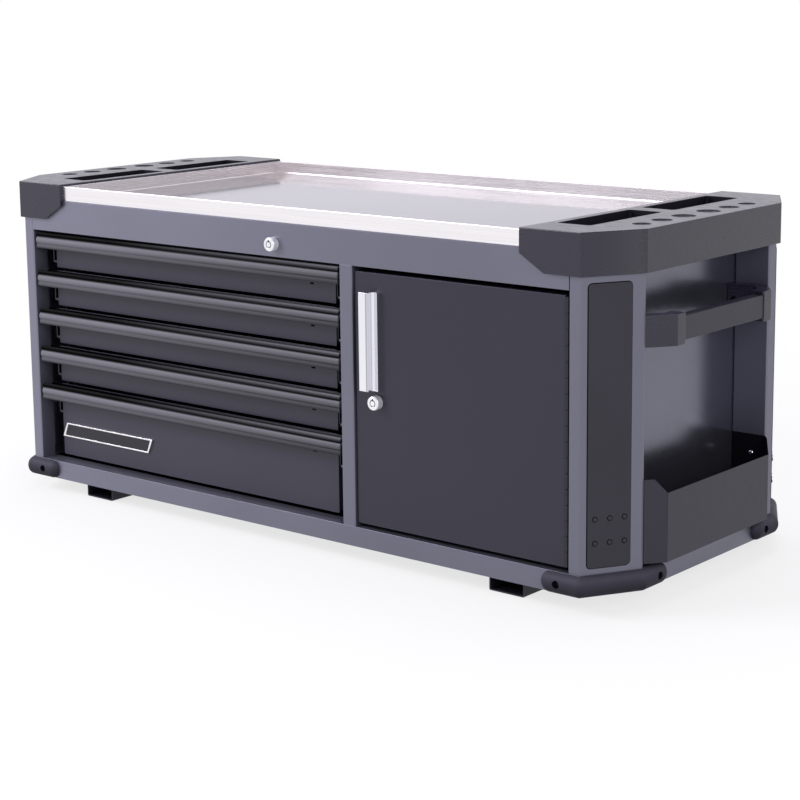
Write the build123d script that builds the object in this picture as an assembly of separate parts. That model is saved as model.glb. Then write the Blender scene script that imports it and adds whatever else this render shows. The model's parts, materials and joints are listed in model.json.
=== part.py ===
from build123d import *
from math import atan2, cos, hypot, pi, sin, tan
import os

# Tool cabinet with five drawers, a hinged cupboard door and a tray top.
# Millimetres. +X right, +Y to the back, +Z up, front face towards -Y.
# The origin is on the floor, midway between the runners and front to back.

# Overall sizes
overall_width = 1400.0
overall_depth = 600.0
overall_height = 600.0
corner_cut_x = 56.4
corner_cut_y = 95.9

# Base, runners and bumpers
runner_height = 30.0
runner_width = 70.0
runner_wall = 2.5
runner_inset = 217.5
runner_setback = 23.0
runner_radius = 3.0
base_height = 34.5
base_sheet = 2.0
base_ledge = 34.5
pan_sheet = 1.5
pan_gap = 0.5
bumper_proud = 14.0
bumper_front_leg = 70.0
bumper_side_leg = 65.0
bumper_screw_offset = 36.0
bumper_screw_radius = 2.4
bumper_head_radius = 4.4
bumper_head_height = 3.0
bumper_counterbore_radius = 5.2
bumper_seat = 6.0

# End caps with tool holders
cap_height = 68.0
cap_overhang = 7.0
cap_wall = 6.8
cap_top = 4.0
cap_cup_wall = 2.5
cap_cup_floor = 3.0
cap_edge_radius = 1.5
cap_length = 171.5
cap_lip_drop = 40.0
cap_lip_cut = 46.0
holder_row_inset = 40.0
holder_bores = (16.0, 13.0, 11.0)
holder_first = 37.5
holder_end_gap = 44.6
holder_middle_share = 0.5246
holder_rim = 4.0
pocket_inset_x = 16.5
pocket_width = 62.0
pocket_end_gap = 77.5
pocket_gap = 35.0
pocket_corner = 6.0

# Tray top
rim_drop = 4.0
tray_lip = 26.5
tray_rim = 6.0
tray_depth = 22.0
tray_sheet = 1.2
tray_edge_radius = 0.8
underlay_gap = 4.0

# Casing
sheet = 1.5
bend_radius = 3.0
post_face_width = 22.1
rail_height = 60.2
return_depth = 32.0
recess_depth = 65.0
recess_front_strip = 7.2
recess_rear_strip = 22.2
panel_flange = 15.0
door_opening = 435.0
centre_post_width = 28.0
centre_post_lip = 12.0
centre_post_radius = 2.5
partition_front_gap = 2.5
partition_top_gap = 2.0
rail_flange = 18.0
back_flange = 12.0

# Corner post inserts
insert_start = 12.0
insert_width = 74.0
insert_bottom = 10.0
insert_top_gap = 11.5
insert_radius = 7.0
insert_proud = 1.5
insert_groove = 0.8
insert_flange = 5.0
insert_flange_depth = 2.0
insert_edge_radius = 1.0
dot_radius = 3.0
dot_rise = 1.0
dot_columns = (25.0, 50.2, 75.4)
dot_rows = (49.9, 88.3)

# Drawers
drawer_count = 5
bottom_drawer_height = 140.0
drawer_gap = 5.0
drawer_top_gap = 5.3
drawer_bottom_gap = 7.5
drawer_setback = 28.0
drawer_side_room = 32.25
drawer_back_gap = 78.0
drawer_sheet = 1.2
drawer_front_sheet = 1.5
drawer_floor_lift = 3.0
drawer_side_drop = 14.0
drawer_front_drop = 1.0
notch_width = 20.0
notch_depth = 10.0
front_slot_inset = 54.0
front_slot_drop = 38.0
front_slot_length = 9.0
front_slot_height = 2.5

# Drawer pulls
pull_end_gap = 6.0
pull_height = 30.0
pull_reach = 27.0
pull_wall = 2.0
pull_back_drop = 2.0
pull_roll = 4.0
pull_roll_bore = 2.4
pull_roll_lap = 0.5
pull_groove = 1.0
pull_bulge = 2.5
pull_lip_height = 8.5
pull_lip_bulge = 1.6

# Drawer slides
slide_space = 12.7
slide_front_gap = 3.0
slide_back_gap = 27.0
slide_height = 40.0
slide_sheet = 1.2
slide_drop = 39.5
slide_play = 0.05
slide_side_play = 0.1
slide_lip = 9.5
upright_width = 25.0
upright_front = 93.0
upright_rear = 143.0
upright_top_gap = 9.0

# Door and hinge
door_gap_left = 2.0
door_gap_right = 9.5
door_gap_bottom = 7.0
door_gap_top = 8.8
door_setback = 5.0
door_thickness = 19.5
door_sheet = 1.5
hinge_pitch = 25.0
hinge_leaf = 1.2
hinge_play = 0.05
hinge_end_play = 0.1
hinge_pin_radius = 1.5
hinge_inset_y = 3.7
hinge_door_leaf_depth = 19.0
hinge_frame_leaf_depth = 26.0

# Door handle
handle_left = 25.0
handle_width = 32.0
handle_length = 165.0
handle_drop = 39.8
handle_front = 19.0
handle_low = 9.0
handle_step = 20.0
handle_wall = 3.0
handle_hollow_radius = 10.0
handle_hollow_offset = 8.0
handle_margin = 1.0
handle_tip_radius = 0.9

# Locks
lock_radius = 12.0
lock_proud = 13.0
lock_edge_radius = 2.5
lock_neck_radius = 9.5
lock_neck_clearance = 0.2
plug_radius = 6.0
plug_play = 0.05
plug_tail = 4.0
key_post_radius = 4.8
key_post_chamfer = 0.4
key_groove_depth = 6.0
key_notch_width = 2.2
key_notch_reach = 1.7
key_post_notch = 1.0
door_lock_inset = 48.0
door_lock_drop = 20.0
door_lock_neck = 26.0
cam_length = 60.0
cam_half = 6.0
cam_sheet = 3.0
cam_gap = 4.0
cam_tail = 2.0
top_lock_inset = 147.0
top_lock_rise = 22.2
top_lock_neck = 24.0
lock_rod_radius = 4.0
crank_radius = 6.0
crank_disc_radius = 9.0
crank_disc = 4.0
crank_gap = 2.0
crank_pin_radius = 2.0
crank_pin_length = 6.0
lock_slot_half = 3.4
lock_slot_side = 1.5
lock_bar_width = 24.0
lock_bar_sheet = 2.0
lock_bar_setback = 25.0
lock_bar_top_margin = 14.0
lock_bar_lift = 25.5
lock_hook_width = 12.0
lock_hook_reach = 9.0
lock_hook_sheet = 3.0
lock_hook_tip = 6.0
lock_hook_clear = 1.0
guide_half = 20.0
guide_height = 15.0
guide_front = 4.0
guide_lift = 45.5
guide_drop = 76.5
bearing_depth = 10.0
bearing_half = 11.0
bearing_drop = 12.0
bearing_gap = 6.0

# Side handles
bar_stand = 28.0
bar_thickness = 20.0
bar_height = 38.4
bar_wall = 2.0
bar_drop = 93.0
bar_socket = 18.0
mount_height = 50.0
mount_root = 3.0
mount_slope = 43.5
mount_flat = 24.5
mount_plate = 25.0
mount_cheek = 1.5
mount_foot_inset = 1.0
mount_socket_back = 5.0
mount_web_step = 16.0
mount_radius = 3.0
bar_radius = 1.5

# Side bin
bin_stand = 24.0
bin_sheet = 1.5
bin_lift = 6.0
bin_front_height = 112.0
bin_end_height = 135.0
bin_wing = 31.0
bin_plate_gap = 2.0
bin_bend_radius = 2.5
bin_floor_gap = 0.2
bin_slope_share = 0.45
bin_screw_inset = 39.0
bin_screw_levels = (45.0, 108.0)

# Small screws
screw_head_radius = 5.0
screw_head_height = 2.6
screw_edge_radius = 1.2
cross_half = 3.0
cross_width = 1.2
cross_depth = 1.2
screw_shank_radius = 2.5
screw_shank_clearance = 0.1
screw_shank_length = 8.0
mount_screw_inset = 13.0
mount_screw_length = 31.0

# Cupboard shelf
shelf_lift = 225.0
shelf_gap = 1.5
shelf_front_gap = 50.0
shelf_back_gap = 37.0
shelf_sheet = 1.2
shelf_flange = 15.0
clip_width = 20.0
clip_height = 18.0
clip_reach = 14.0
clip_front = 113.0
clip_rear = 133.0

# Plate on the bottom drawer
plate_left = 3.0
plate_length = 236.0
plate_height = 27.0
plate_slant = 12.0
plate_thickness = 4.0
plate_border = 2.5
plate_recess = 1.0
plate_bottom = 36.5

# Plan outline
half_width = overall_width / 2
half_depth = overall_depth / 2
corner_angle = atan2(corner_cut_y, corner_cut_x)


def corner_points(inset):
    """First quadrant corner vertices of the plan outline moved in by an inset."""
    front_x = half_width - corner_cut_x - inset * tan(corner_angle / 2)
    side_y = half_depth - corner_cut_y - inset * tan((pi / 2 - corner_angle) / 2)
    return front_x, half_depth - inset, half_width - inset, side_y


def outline(inset):
    """Eight-sided plan outline of the cabinet moved in by an inset."""
    fx, fy, sx, sy = corner_points(inset)
    right = [(fx, -fy), (sx, -sy), (sx, sy), (fx, fy)]
    return right + [(-x, y) for x, y in reversed(right)]


# Derived heights
z_base = runner_height
z_floor = z_base + base_height
z_pan = z_base + base_sheet + pan_sheet
z_cap = overall_height - cap_height
z_rim = overall_height - rim_drop
z_deck = z_rim - tray_lip
z_under_deck = z_deck - sheet
z_open_top = z_deck - rail_height
bar_centre_z = z_cap - bar_drop
shelf_top_z = z_floor + shelf_lift
insert_height = z_cap - insert_top_gap - z_floor - insert_bottom

# Derived casing positions
front_corner_x, front_corner_y, body_x, side_corner_y = corner_points(cap_overhang)
body_y = front_corner_y
side_x = body_x - recess_depth
recess_front_y = -side_corner_y + recess_front_strip
recess_rear_y = side_corner_y - recess_rear_strip
opening_half = front_corner_x - post_face_width
post_right_x = opening_half - door_opening
post_left_x = post_right_x - centre_post_width
bay_centre = (post_left_x - opening_half) / 2
bay_width = post_left_x + opening_half
runner_x = half_width - runner_inset
cap_inner_x = half_width - cap_length
holder_x = half_width - holder_row_inset
pocket_length = half_depth - pocket_end_gap - pocket_gap / 2
bar_face_x = body_x + bar_stand
bin_face_x = body_x + bin_stand
shelf_front_y = -body_y + shelf_front_gap
shelf_back_y = body_y - shelf_back_gap

# Derived drawer positions
drawer_width = bay_width - 2 * drawer_side_room
drawer_face_y = -body_y + drawer_setback
drawer_back_y = body_y - drawer_back_gap
drawer_left = bay_centre - drawer_width / 2
drawer_right = bay_centre + drawer_width / 2
drawer_top_z = z_open_top - drawer_top_gap
drawer_low_z = z_floor + drawer_bottom_gap
drawer_pitch = (drawer_top_z - drawer_low_z - bottom_drawer_height) / (drawer_count - 1)
upright_reach = drawer_left - slide_space + side_x - sheet
partition_x = drawer_right + slide_space + upright_reach
top_lock_x = post_left_x - top_lock_inset
lock_z = z_open_top + top_lock_rise
bar_front_y = drawer_back_y + lock_bar_setback

# Derived door positions
door_face_y = -body_y + door_setback
door_back_y = door_face_y + door_thickness
door_left = post_right_x + door_gap_left
door_right = opening_half - door_gap_right
door_bottom = z_floor + door_gap_bottom
door_top = z_open_top - door_gap_top
handle_z = z_open_top - handle_drop - handle_length
door_lock_x = post_right_x + door_lock_inset
door_lock_z = handle_z - door_lock_drop
hinge_x = (door_right + opening_half) / 2
hinge_y = -body_y + hinge_inset_y
knuckle_radius = (opening_half - door_right) / 2 - hinge_leaf - hinge_play
hinge_count = int((door_top - door_bottom) / hinge_pitch)
hinge_length = hinge_pitch * hinge_count
hinge_bottom = (door_bottom + door_top - hinge_length) / 2


def block(x0, x1, y0, y1, z0, z1):
    """Box between two opposite corners."""
    centre = Pos((x0 + x1) / 2, (y0 + y1) / 2, (z0 + z1) / 2)
    return centre * Box(x1 - x0, y1 - y0, z1 - z0)


def prism(points, z0, z1):
    """Upright solid over a plan outline."""
    face = make_face(Polyline(*points, close=True))
    return Pos(0, 0, z0) * extrude(face, z1 - z0, dir=(0, 0, 1))


def along_x(points, x0, x1):
    """Solid with a side outline given as (y, z), running in X."""
    face = make_face(Polyline(*[(x0, y, z) for y, z in points], close=True))
    return extrude(face, x1 - x0, dir=(1, 0, 0))


def along_y(points, y0, y1):
    """Solid with a front outline given as (x, z), running in Y."""
    face = make_face(Polyline(*[(x, y0, z) for x, z in points], close=True))
    return extrude(face, y1 - y0, dir=(0, 1, 0))


def rod_y(x, z, radius, y0, y1):
    """Round bar along Y."""
    return Pos(x, (y0 + y1) / 2, z) * Rot(90, 0, 0) * Cylinder(radius, y1 - y0)


def rod_z(x, y, radius, z0, z1):
    """Round bar along Z."""
    return Pos(x, y, (z0 + z1) / 2) * Cylinder(radius, z1 - z0)


def slab(x, z, width, height, radius, y0, y1):
    """Upright plate with rounded corners between two depths."""
    face = Plane.XZ * RectangleRounded(width, height, radius)
    return Pos(x, y1, z) * extrude(face, y1 - y0)


def offset_left(points, distance):
    """Copy of an open line moved to its left with mitred corners."""
    ways = []
    for a, b in zip(points, points[1:]):
        length = hypot(b[0] - a[0], b[1] - a[1])
        ways.append(((b[0] - a[0]) / length, (b[1] - a[1]) / length))
    moved = []
    for i, (x, y) in enumerate(points):
        u = ways[max(i - 1, 0)]
        v = ways[min(i, len(ways) - 1)]
        scale = distance / (1 + u[0] * v[0] + u[1] * v[1])
        moved.append((x - (u[1] + v[1]) * scale, y + (u[0] + v[0]) * scale))
    return moved


def folded(points, thickness, z0, z1, radius):
    """Upright folded sheet: the line is its outer side, bends are rounded."""
    inner_points = offset_left(points, thickness)
    outer = FilletPolyline(*points, radius=radius)
    inner = FilletPolyline(*inner_points, radius=radius - thickness)
    first = Line(points[0], inner_points[0])
    last = Line(points[-1], inner_points[-1])
    face = make_face([outer, inner, first, last])
    return Pos(0, 0, z0) * extrude(face, z1 - z0, dir=(0, 0, 1))


def mirror_x(shape):
    """Copy on the other side, left to right."""
    return mirror(shape, Plane.YZ)


def mirror_y(shape):
    """Copy at the other end, front to back."""
    return mirror(shape, Plane.XZ)


def joined(shapes):
    """One node made of separate solids."""
    return Compound(children=[s for shape in shapes for s in shape.solids()])


def on_corner(shape):
    """Place a shape on the front right corner face: X along it, -Y outward."""
    along = (cos(corner_angle), sin(corner_angle), 0)
    place = Plane(origin=(front_corner_x, -front_corner_y, 0), x_dir=along, z_dir=(0, 0, 1))
    return place.location * shape


# Base

def bumper_holes():
    """Places and inward directions of the two screws of the front right bumper."""
    front = (front_corner_x - bumper_screw_offset, -body_y, 0.0)
    side = (body_x, -side_corner_y + bumper_screw_offset, -90.0)
    return [front, side]


def bumper_cutter(radius, outer, inner):
    """Round cutters at the two bumper screws, from outside to inside the wall."""
    z = z_base + base_height / 2
    tools = []
    for x, y, turn in bumper_holes():
        place = Pos(x, y, z) * Rot(0, 0, -turn)
        tools.append(place * rod_y(0, 0, radius, -outer, inner))
    return tools


def four_corners(shapes):
    """The same solids at all four corners."""
    right = shapes + [mirror_y(s) for s in shapes]
    return right + [mirror_x(s) for s in right]


def base_frame():
    """Channel-section ring that carries the casing."""
    ring = prism(outline(cap_overhang), z_base, z_floor)
    hollow = outline(cap_overhang + base_sheet)
    ring -= prism(hollow, z_base + base_sheet, z_floor - base_sheet)
    inner_x = side_x - sheet
    inner_y = body_y - base_ledge
    ring -= block(-inner_x, inner_x, -inner_y, inner_y, z_base, z_floor)
    clear = bumper_screw_radius + screw_shank_clearance
    for tool in four_corners(bumper_cutter(clear, 1, base_sheet + 1)):
        ring -= tool
    return ring


def base_pan():
    """Floor sheet lying on the lower flange of the base."""
    edge = outline(cap_overhang + base_sheet + pan_gap)
    return prism(edge, z_base + base_sheet, z_pan)


def runners():
    """Two open rectangular tubes under the base."""
    front = -body_y + runner_setback
    tubes = []
    for x in (-runner_x, runner_x):
        half = runner_width / 2
        tube = block(x - half, x + half, front, -front, 0, runner_height)
        tube = fillet(tube.edges().filter_by(Axis.Y), runner_radius)
        bore_half = half - runner_wall
        tube -= block(x - bore_half, x + bore_half, front, -front,
                      runner_wall, runner_height - runner_wall)
        tubes.append(tube)
    return joined(tubes)


def bumper_section(place):
    """Half-round section of the bumper, its flat side on the wall."""
    half = Ellipse(bumper_proud, base_height / 2)
    half &= Pos(bumper_proud, 0) * Rectangle(2 * bumper_proud, 2 * base_height)
    return place * half


def bumper():
    """Front right rubber bumper: half-round strip round the base corner."""
    z = z_base + base_height / 2
    front_x = front_corner_x - bumper_front_leg
    side_y = -side_corner_y + bumper_side_leg
    nodes = [(front_x, -body_y, z), (front_corner_x, -body_y, z),
             (body_x, -side_corner_y, z), (body_x, side_y, z)]
    start = Plane(origin=nodes[0], x_dir=(0, -1, 0), z_dir=(1, 0, 0))
    body = sweep(bumper_section(start), path=Polyline(*nodes), transition=Transition.RIGHT)
    r = bumper_proud
    low, high = z_base - 1, z_floor + 1
    front_end = block(front_x - 1, front_x + r, -half_depth - r, -body_y, low, high)
    side_end = block(body_x, half_width + r, side_y - r, side_y + 1, low, high)
    body -= front_end - rod_z(front_x + r, -body_y, r, low, high)
    body -= side_end - rod_z(body_x, side_y - r, r, low, high)
    for tool in bumper_cutter(bumper_counterbore_radius, bumper_proud + 1, -bumper_seat):
        body -= tool
    for tool in bumper_cutter(bumper_screw_radius + screw_shank_clearance, bumper_proud, 1):
        body -= tool
    return body


def bumper_screws():
    """Pan-head screws at the bottom of the bumper counterbores."""
    heads = bumper_cutter(bumper_head_radius, bumper_seat + bumper_head_height, -bumper_seat)
    shanks = bumper_cutter(bumper_screw_radius, bumper_seat, bumper_seat)
    z = z_base + base_height / 2
    screws = []
    for head, shank, (x, y, turn) in zip(heads, shanks, bumper_holes()):
        place = Pos(x, y, z) * Rot(0, 0, -turn)
        front = -bumper_seat - bumper_head_height
        screws.append(head + shank - place * screw_cross(front, front + cross_depth))
    return joined(four_corners(screws))


# Casing panels

def post(end_y, strip_end):
    """Folded corner post at the right, built at the front."""
    line = [(opening_half, -body_y + return_depth),
            (opening_half, -body_y),
            (front_corner_x, -body_y),
            (body_x, -side_corner_y),
            (body_x, strip_end),
            (side_x, strip_end),
            (side_x, end_y)]
    body = folded(line, sheet, z_floor, z_under_deck, bend_radius)
    window = slab(insert_start + insert_width / 2, z_floor + insert_bottom + insert_height / 2,
                  insert_width + 2 * insert_groove, insert_height + 2 * insert_groove,
                  insert_radius + insert_groove, -5, 5)
    return body - on_corner(window)


def screw_bores(points, y, length):
    """Round cutters along Y at (x, z) points for the small screws."""
    radius = screw_shank_radius + screw_shank_clearance
    return [rod_y(x, z, radius, y - length, y + length) for x, z in points]


def mount_points():
    """Screw places of a side handle mount, as (x, z)."""
    return [(side_x + mount_screw_inset, bar_centre_z)]


def bin_points():
    """Screw places of an end plate of the side bin, as (x, z)."""
    return [(side_x + bin_screw_inset, z_floor + level) for level in bin_screw_levels]


def front_post():
    """Corner post at the front right with the screw bores of the handle mount."""
    body = post(recess_front_y - panel_flange, recess_front_y)
    for tool in screw_bores(mount_points(), recess_front_y, 4):
        body -= tool
    return body


def rear_post():
    """Corner post at the back right, mirrored from the front form."""
    body = mirror_y(post(-recess_rear_y - panel_flange, -recess_rear_y))
    for tool in screw_bores(mount_points(), recess_rear_y, 4):
        body -= tool
    return body


def with_bin_bores(body, y):
    """Bores for the bin screws in a right-hand post."""
    for tool in screw_bores(bin_points(), y, 4):
        body -= tool
    return body


def post_insert():
    """Soft pad in the window of a corner post, with six domed dots."""
    x = insert_start + insert_width / 2
    z = z_floor + insert_bottom + insert_height / 2
    pad = slab(x, z, insert_width, insert_height, insert_radius, -insert_proud, sheet)
    front_edges = pad.faces().sort_by(Axis.Y)[0].edges()
    pad = fillet(front_edges, insert_edge_radius)
    pad += slab(x, z, insert_width + 2 * insert_flange, insert_height + 2 * insert_flange,
                insert_radius, sheet, sheet + insert_flange_depth)
    ball = (dot_radius ** 2 + dot_rise ** 2) / (2 * dot_rise)
    for dx in dot_columns:
        for dz in dot_rows:
            place = Pos(dx, -insert_proud - dot_rise + ball, z_floor + dz)
            dome = place * Sphere(ball)
            pad += dome & block(dx - 4, dx + 4, -insert_proud - 2, -insert_proud + 0.5,
                                z_floor + dz - 4, z_floor + dz + 4)
    return on_corner(pad)


def side_panel():
    """Right-hand inner wall of the side recess."""
    return block(side_x - sheet, side_x, recess_front_y - panel_flange,
                 recess_rear_y + panel_flange, z_floor, z_under_deck)


def back_panel():
    """Rear closing sheet with folded edges."""
    y = body_y
    x = opening_half
    body = block(-x, x, y - back_flange, y, z_floor, z_under_deck)
    body -= block(-x + sheet, x - sheet, y - back_flange, y - sheet,
                  z_floor + sheet, z_under_deck - sheet)
    return body


def top_rail():
    """Front fascia over the drawers and the door."""
    y = -body_y
    profile = [(y, z_open_top), (y + return_depth, z_open_top),
               (y + return_depth, z_open_top + sheet), (y + sheet, z_open_top + sheet),
               (y + sheet, z_under_deck - sheet), (y + rail_flange, z_under_deck - sheet),
               (y + rail_flange, z_under_deck), (y, z_under_deck)]
    body = along_x(profile, -opening_half, opening_half)
    hole = lock_neck_radius + lock_neck_clearance
    return body - rod_y(top_lock_x, lock_z, hole, y - 1, y + sheet + 1)


def centre_post():
    """Front channel between the drawer bay and the cupboard."""
    y0 = -body_y
    y1 = y0 + return_depth
    left = post_left_x
    right = post_right_x
    line = [(left + centre_post_lip, y1), (left, y1), (left, y0), (right, y0),
            (right, y1), (right - centre_post_lip, y1)]
    return folded(line, sheet, z_floor, z_open_top, centre_post_radius)


def partition():
    """Upright sheet between the drawers and the cupboard."""
    front = -body_y + return_depth
    inner = body_y - base_ledge
    x1 = partition_x + sheet
    body = block(partition_x, x1, front + partition_front_gap, inner, z_pan, z_under_deck)
    body += block(partition_x, x1, front, body_y - back_flange, z_floor,
                  z_under_deck - partition_top_gap)
    return body


def top_deck():
    """Top sheet of the casing under the tray and the end caps."""
    return prism(outline(cap_overhang), z_under_deck, z_deck)


# Tray top and end caps

def worktop_tray():
    """Sheet metal tray with a hemmed rim and an outer lip."""
    x = cap_inner_x
    y = body_y
    z_in = z_rim - tray_depth
    body = block(-x, x, -y, y, z_deck, z_rim)
    body = fillet(body.faces().sort_by(Axis.Z)[-1].edges(), tray_edge_radius)
    r = tray_rim
    body -= block(-x + r, x - r, -y + r, y - r, z_in, z_rim)
    t = tray_sheet
    body -= block(-x + t, x - t, -y + t, y - t, z_deck, z_in - t)
    hem = block(-x + t, x - t, -y + t, y - t, z_in - t, z_rim - t)
    w = tray_rim - tray_sheet
    hem -= block(-x + w, x - w, -y + w, y - w, z_in - t, z_rim - t)
    return body - hem


def tray_underlay():
    """Board that fills the space between the deck and the tray floor."""
    x = cap_inner_x - underlay_gap
    y = body_y - underlay_gap
    return block(-x, x, -y, y, z_deck, z_rim - tray_depth - tray_sheet)


def holder_places():
    """Centres and bore radii of the round tool holders of the right cap."""
    last = half_depth - corner_cut_y - holder_end_gap
    middle = holder_first + (last - holder_first) * holder_middle_share
    places = []
    for step, radius in zip((holder_first, middle, last), holder_bores):
        places.append((step, radius))
        places.append((-step, radius))
    return places


def pocket(z0, z1, grow):
    """Plan-rounded blocks at the two long pockets of the right cap."""
    x = cap_inner_x + pocket_inset_x + pocket_width / 2
    shapes = []
    for side in (-1, 1):
        y = side * (pocket_gap + pocket_length) / 2
        face = RectangleRounded(pocket_width + 2 * grow, pocket_length + 2 * grow,
                                pocket_corner + grow)
        shapes.append(Pos(x, y, z0) * extrude(face, z1 - z0))
    return shapes


def end_cap():
    """Right-hand moulded cap with round holders and two long pockets."""
    fx, fy, sx, sy = corner_points(0)
    inner = cap_inner_x
    plan = [(inner, -fy), (fx, -fy), (sx, -sy), (sx, sy), (fx, fy), (inner, fy)]
    body = prism(plan, z_cap, overall_height)
    body = fillet(body.faces().sort_by(Axis.Z)[-1].edges(), cap_edge_radius)
    cx, cy, ex, ey = corner_points(cap_wall)
    room = [(inner - 1, -cy), (cx, -cy), (ex, -ey), (ex, ey), (cx, cy), (inner - 1, cy)]
    body -= prism(room, z_cap, z_deck)
    near = inner + cap_top
    upper = [(near, -cy), (cx, -cy), (ex, -ey), (ex, ey), (cx, cy), (near, cy)]
    body -= prism(upper, z_deck, overall_height - cap_top)
    z_low = overall_height - cap_lip_drop
    wedge = [(inner - 1, z_cap - 1), (inner + cap_lip_cut, z_cap - 1),
             (inner + cap_lip_cut, z_cap), (inner, z_low), (inner - 1, z_low)]
    body -= along_y(wedge, -half_depth - 1, half_depth + 1)
    top_under = overall_height - cap_top
    for cup in pocket(z_deck, top_under, cap_cup_wall):
        body += cup
    for y, radius in holder_places():
        body += rod_z(holder_x, y, radius + cap_cup_wall, z_deck, top_under)
    z_cup = z_deck + cap_cup_floor
    for hole in pocket(z_cup, overall_height, 0):
        body -= hole
    for y, radius in holder_places():
        body -= rod_z(holder_x, y, radius, z_cup, overall_height)
        rim = Cone(radius, radius + holder_rim, holder_rim / 2)
        body -= Pos(holder_x, y, overall_height - holder_rim / 4) * rim
    return body


# Side handles and bin

def mount_plan():
    """Plan outline of the front right handle mount."""
    y = recess_front_y
    y_flat = y + mount_slope
    y_end = y_flat + mount_flat
    outer = bar_face_x + mount_cheek
    inner = bar_face_x - bar_thickness - mount_socket_back
    foot = side_x + mount_foot_inset
    return [(foot, y), (body_x - mount_root, y), (outer, y_flat), (outer, y_end),
            (inner, y_end), (inner, y_flat), (inner - mount_web_step, y + mount_plate),
            (foot, y + mount_plate)]


def bar_ends():
    """Front and rear ends of the side handle bars inside their mounts."""
    front = recess_front_y + mount_slope + mount_flat - bar_socket
    rear = recess_rear_y - mount_slope - mount_flat + bar_socket
    return front, rear


def mount_pair():
    """Front and rear mounts of the right side handle."""
    z0 = bar_centre_z - mount_height / 2
    body = prism(mount_plan(), z0, z0 + mount_height)
    edges = body.edges().filter_by(Axis.Z).sort_by(Axis.X)[-2:]
    body = fillet(edges, mount_radius)
    front, rear = bar_ends()
    shift = recess_rear_y + recess_front_y
    other = Pos(0, shift, 0) * mirror_y(body)
    half = bar_height / 2
    socket = block(bar_face_x - bar_thickness, bar_face_x, front, rear,
                   bar_centre_z - half, bar_centre_z + half)
    pair = []
    for solid, y in ((body, recess_front_y), (other, recess_rear_y)):
        solid = solid - socket
        for tool in screw_bores(mount_points(), y, mount_plate + 1):
            solid -= tool
        pair.append(solid)
    return joined(pair)


def handle_bar():
    """Right side handle bar, a flat rectangular tube."""
    front, rear = bar_ends()
    half = bar_height / 2
    bar = block(bar_face_x - bar_thickness, bar_face_x, front, rear,
                bar_centre_z - half, bar_centre_z + half)
    bar = fillet(bar.edges().filter_by(Axis.Y), bar_radius)
    t = bar_wall
    bar -= block(bar_face_x - bar_thickness + t, bar_face_x - t, front, rear,
                 bar_centre_z - half + t, bar_centre_z + half - t)
    return bar


def side_bin():
    """Sheet bin with sloping wings between the right-hand posts."""
    y0 = recess_front_y
    y1 = recess_rear_y
    z0 = z_floor + bin_lift
    inner = side_x + bin_plate_gap
    line = [(inner, y0), (body_x, y0), (bin_face_x, y0 + bin_wing),
            (bin_face_x, y1 - bin_wing), (body_x, y1), (inner, y1)]
    body = folded(line, bin_sheet, z0, z0 + bin_end_height, bin_bend_radius)
    body += prism(offset_left(line, bin_floor_gap), z0, z0 + bin_sheet)
    top = z0 + bin_front_height
    high = z0 + bin_end_height
    bend = bin_wing * bin_slope_share
    cut = [(y0 + bend, high + 1), (y0 + bend, high), (y0 + bin_wing, top),
           (y1 - bin_wing, top), (y1 - bend, high), (y1 - bend, high + 1)]
    body -= along_x(cut, body_x - 1, bin_face_x + 1)
    for y in (y0, y1):
        for tool in screw_bores(bin_points(), y, 3):
            body -= tool
    return body


def screw_cross(y0, y1):
    """Cross-shaped cutter for a screw head between two depths."""
    long, half = cross_half, cross_width / 2
    return block(-long, long, y0, y1, -half, half) + block(-half, half, y0, y1, -long, long)


def pan_screw(x, y, z, way, length):
    """Pan-head screw whose head stands at y and whose shank runs along way."""
    head = rod_y(x, z, screw_head_radius, min(y, y - way * screw_head_height),
                 max(y, y - way * screw_head_height))
    face = head.faces().sort_by(Axis.Y)[0 if way > 0 else -1]
    head = fillet(face.edges(), screw_edge_radius)
    tip = y + way * length
    shank = rod_y(x, z, screw_shank_radius, min(y, tip), max(y, tip))
    deep = y - way * screw_head_height
    y0, y1 = sorted((deep, deep + way * cross_depth))
    return head + shank - Pos(x, 0, z) * screw_cross(y0, y1)


def side_screws():
    """Screws of the side handle mounts and of the bin."""
    screws = []
    for x, z in mount_points():
        front = pan_screw(x, recess_front_y + mount_plate, z, -1, mount_screw_length)
        rear = pan_screw(x, recess_rear_y - mount_plate, z, 1, mount_screw_length)
        screws += [front, rear, mirror_x(front), mirror_x(rear)]
    for x, z in bin_points():
        screws.append(pan_screw(x, recess_front_y + bin_sheet, z, -1, screw_shank_length))
        screws.append(pan_screw(x, recess_rear_y - bin_sheet, z, 1, screw_shank_length))
    return joined(screws)


# Drawers

def drawer_top(n):
    """Height of the top edge of drawer n, counted from the top."""
    return drawer_top_z - drawer_pitch * (n - 1)


def drawer_bottom(n):
    """Height of the lower edge of drawer n."""
    if n == drawer_count:
        return drawer_low_z
    return drawer_top(n + 1) + drawer_gap


def slide_centre(n):
    """Height of the middle of the slides of drawer n."""
    return drawer_top(n) - slide_drop


def slide_member(n, web, lip, lost):
    """Left-hand channel of a slide; web and lip are depths from the cabinet side."""
    x0 = drawer_left - slide_space
    half = slide_height / 2 - lost
    z = slide_centre(n)
    y0 = drawer_face_y + slide_front_gap
    y1 = drawer_back_y - slide_back_gap
    w0, w1 = sorted(web)
    near, far = sorted(lip)
    body = block(x0 + w0, x0 + w1, y0, y1, z - half, z + half)
    body += block(x0 + near, x0 + far, y0, y1, z + half - slide_sheet, z + half)
    body += block(x0 + near, x0 + far, y0, y1, z - half, z - half + slide_sheet)
    return body


def both_sides(shape):
    """The same slide member on both sides of the drawer."""
    other = Pos(2 * bay_centre, 0, 0) * mirror_x(shape)
    return [shape, other]


def outer_member(n):
    """Cabinet-side slide members of drawer n."""
    return both_sides(slide_member(n, (0, slide_sheet), (0, slide_lip), 0))


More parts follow.
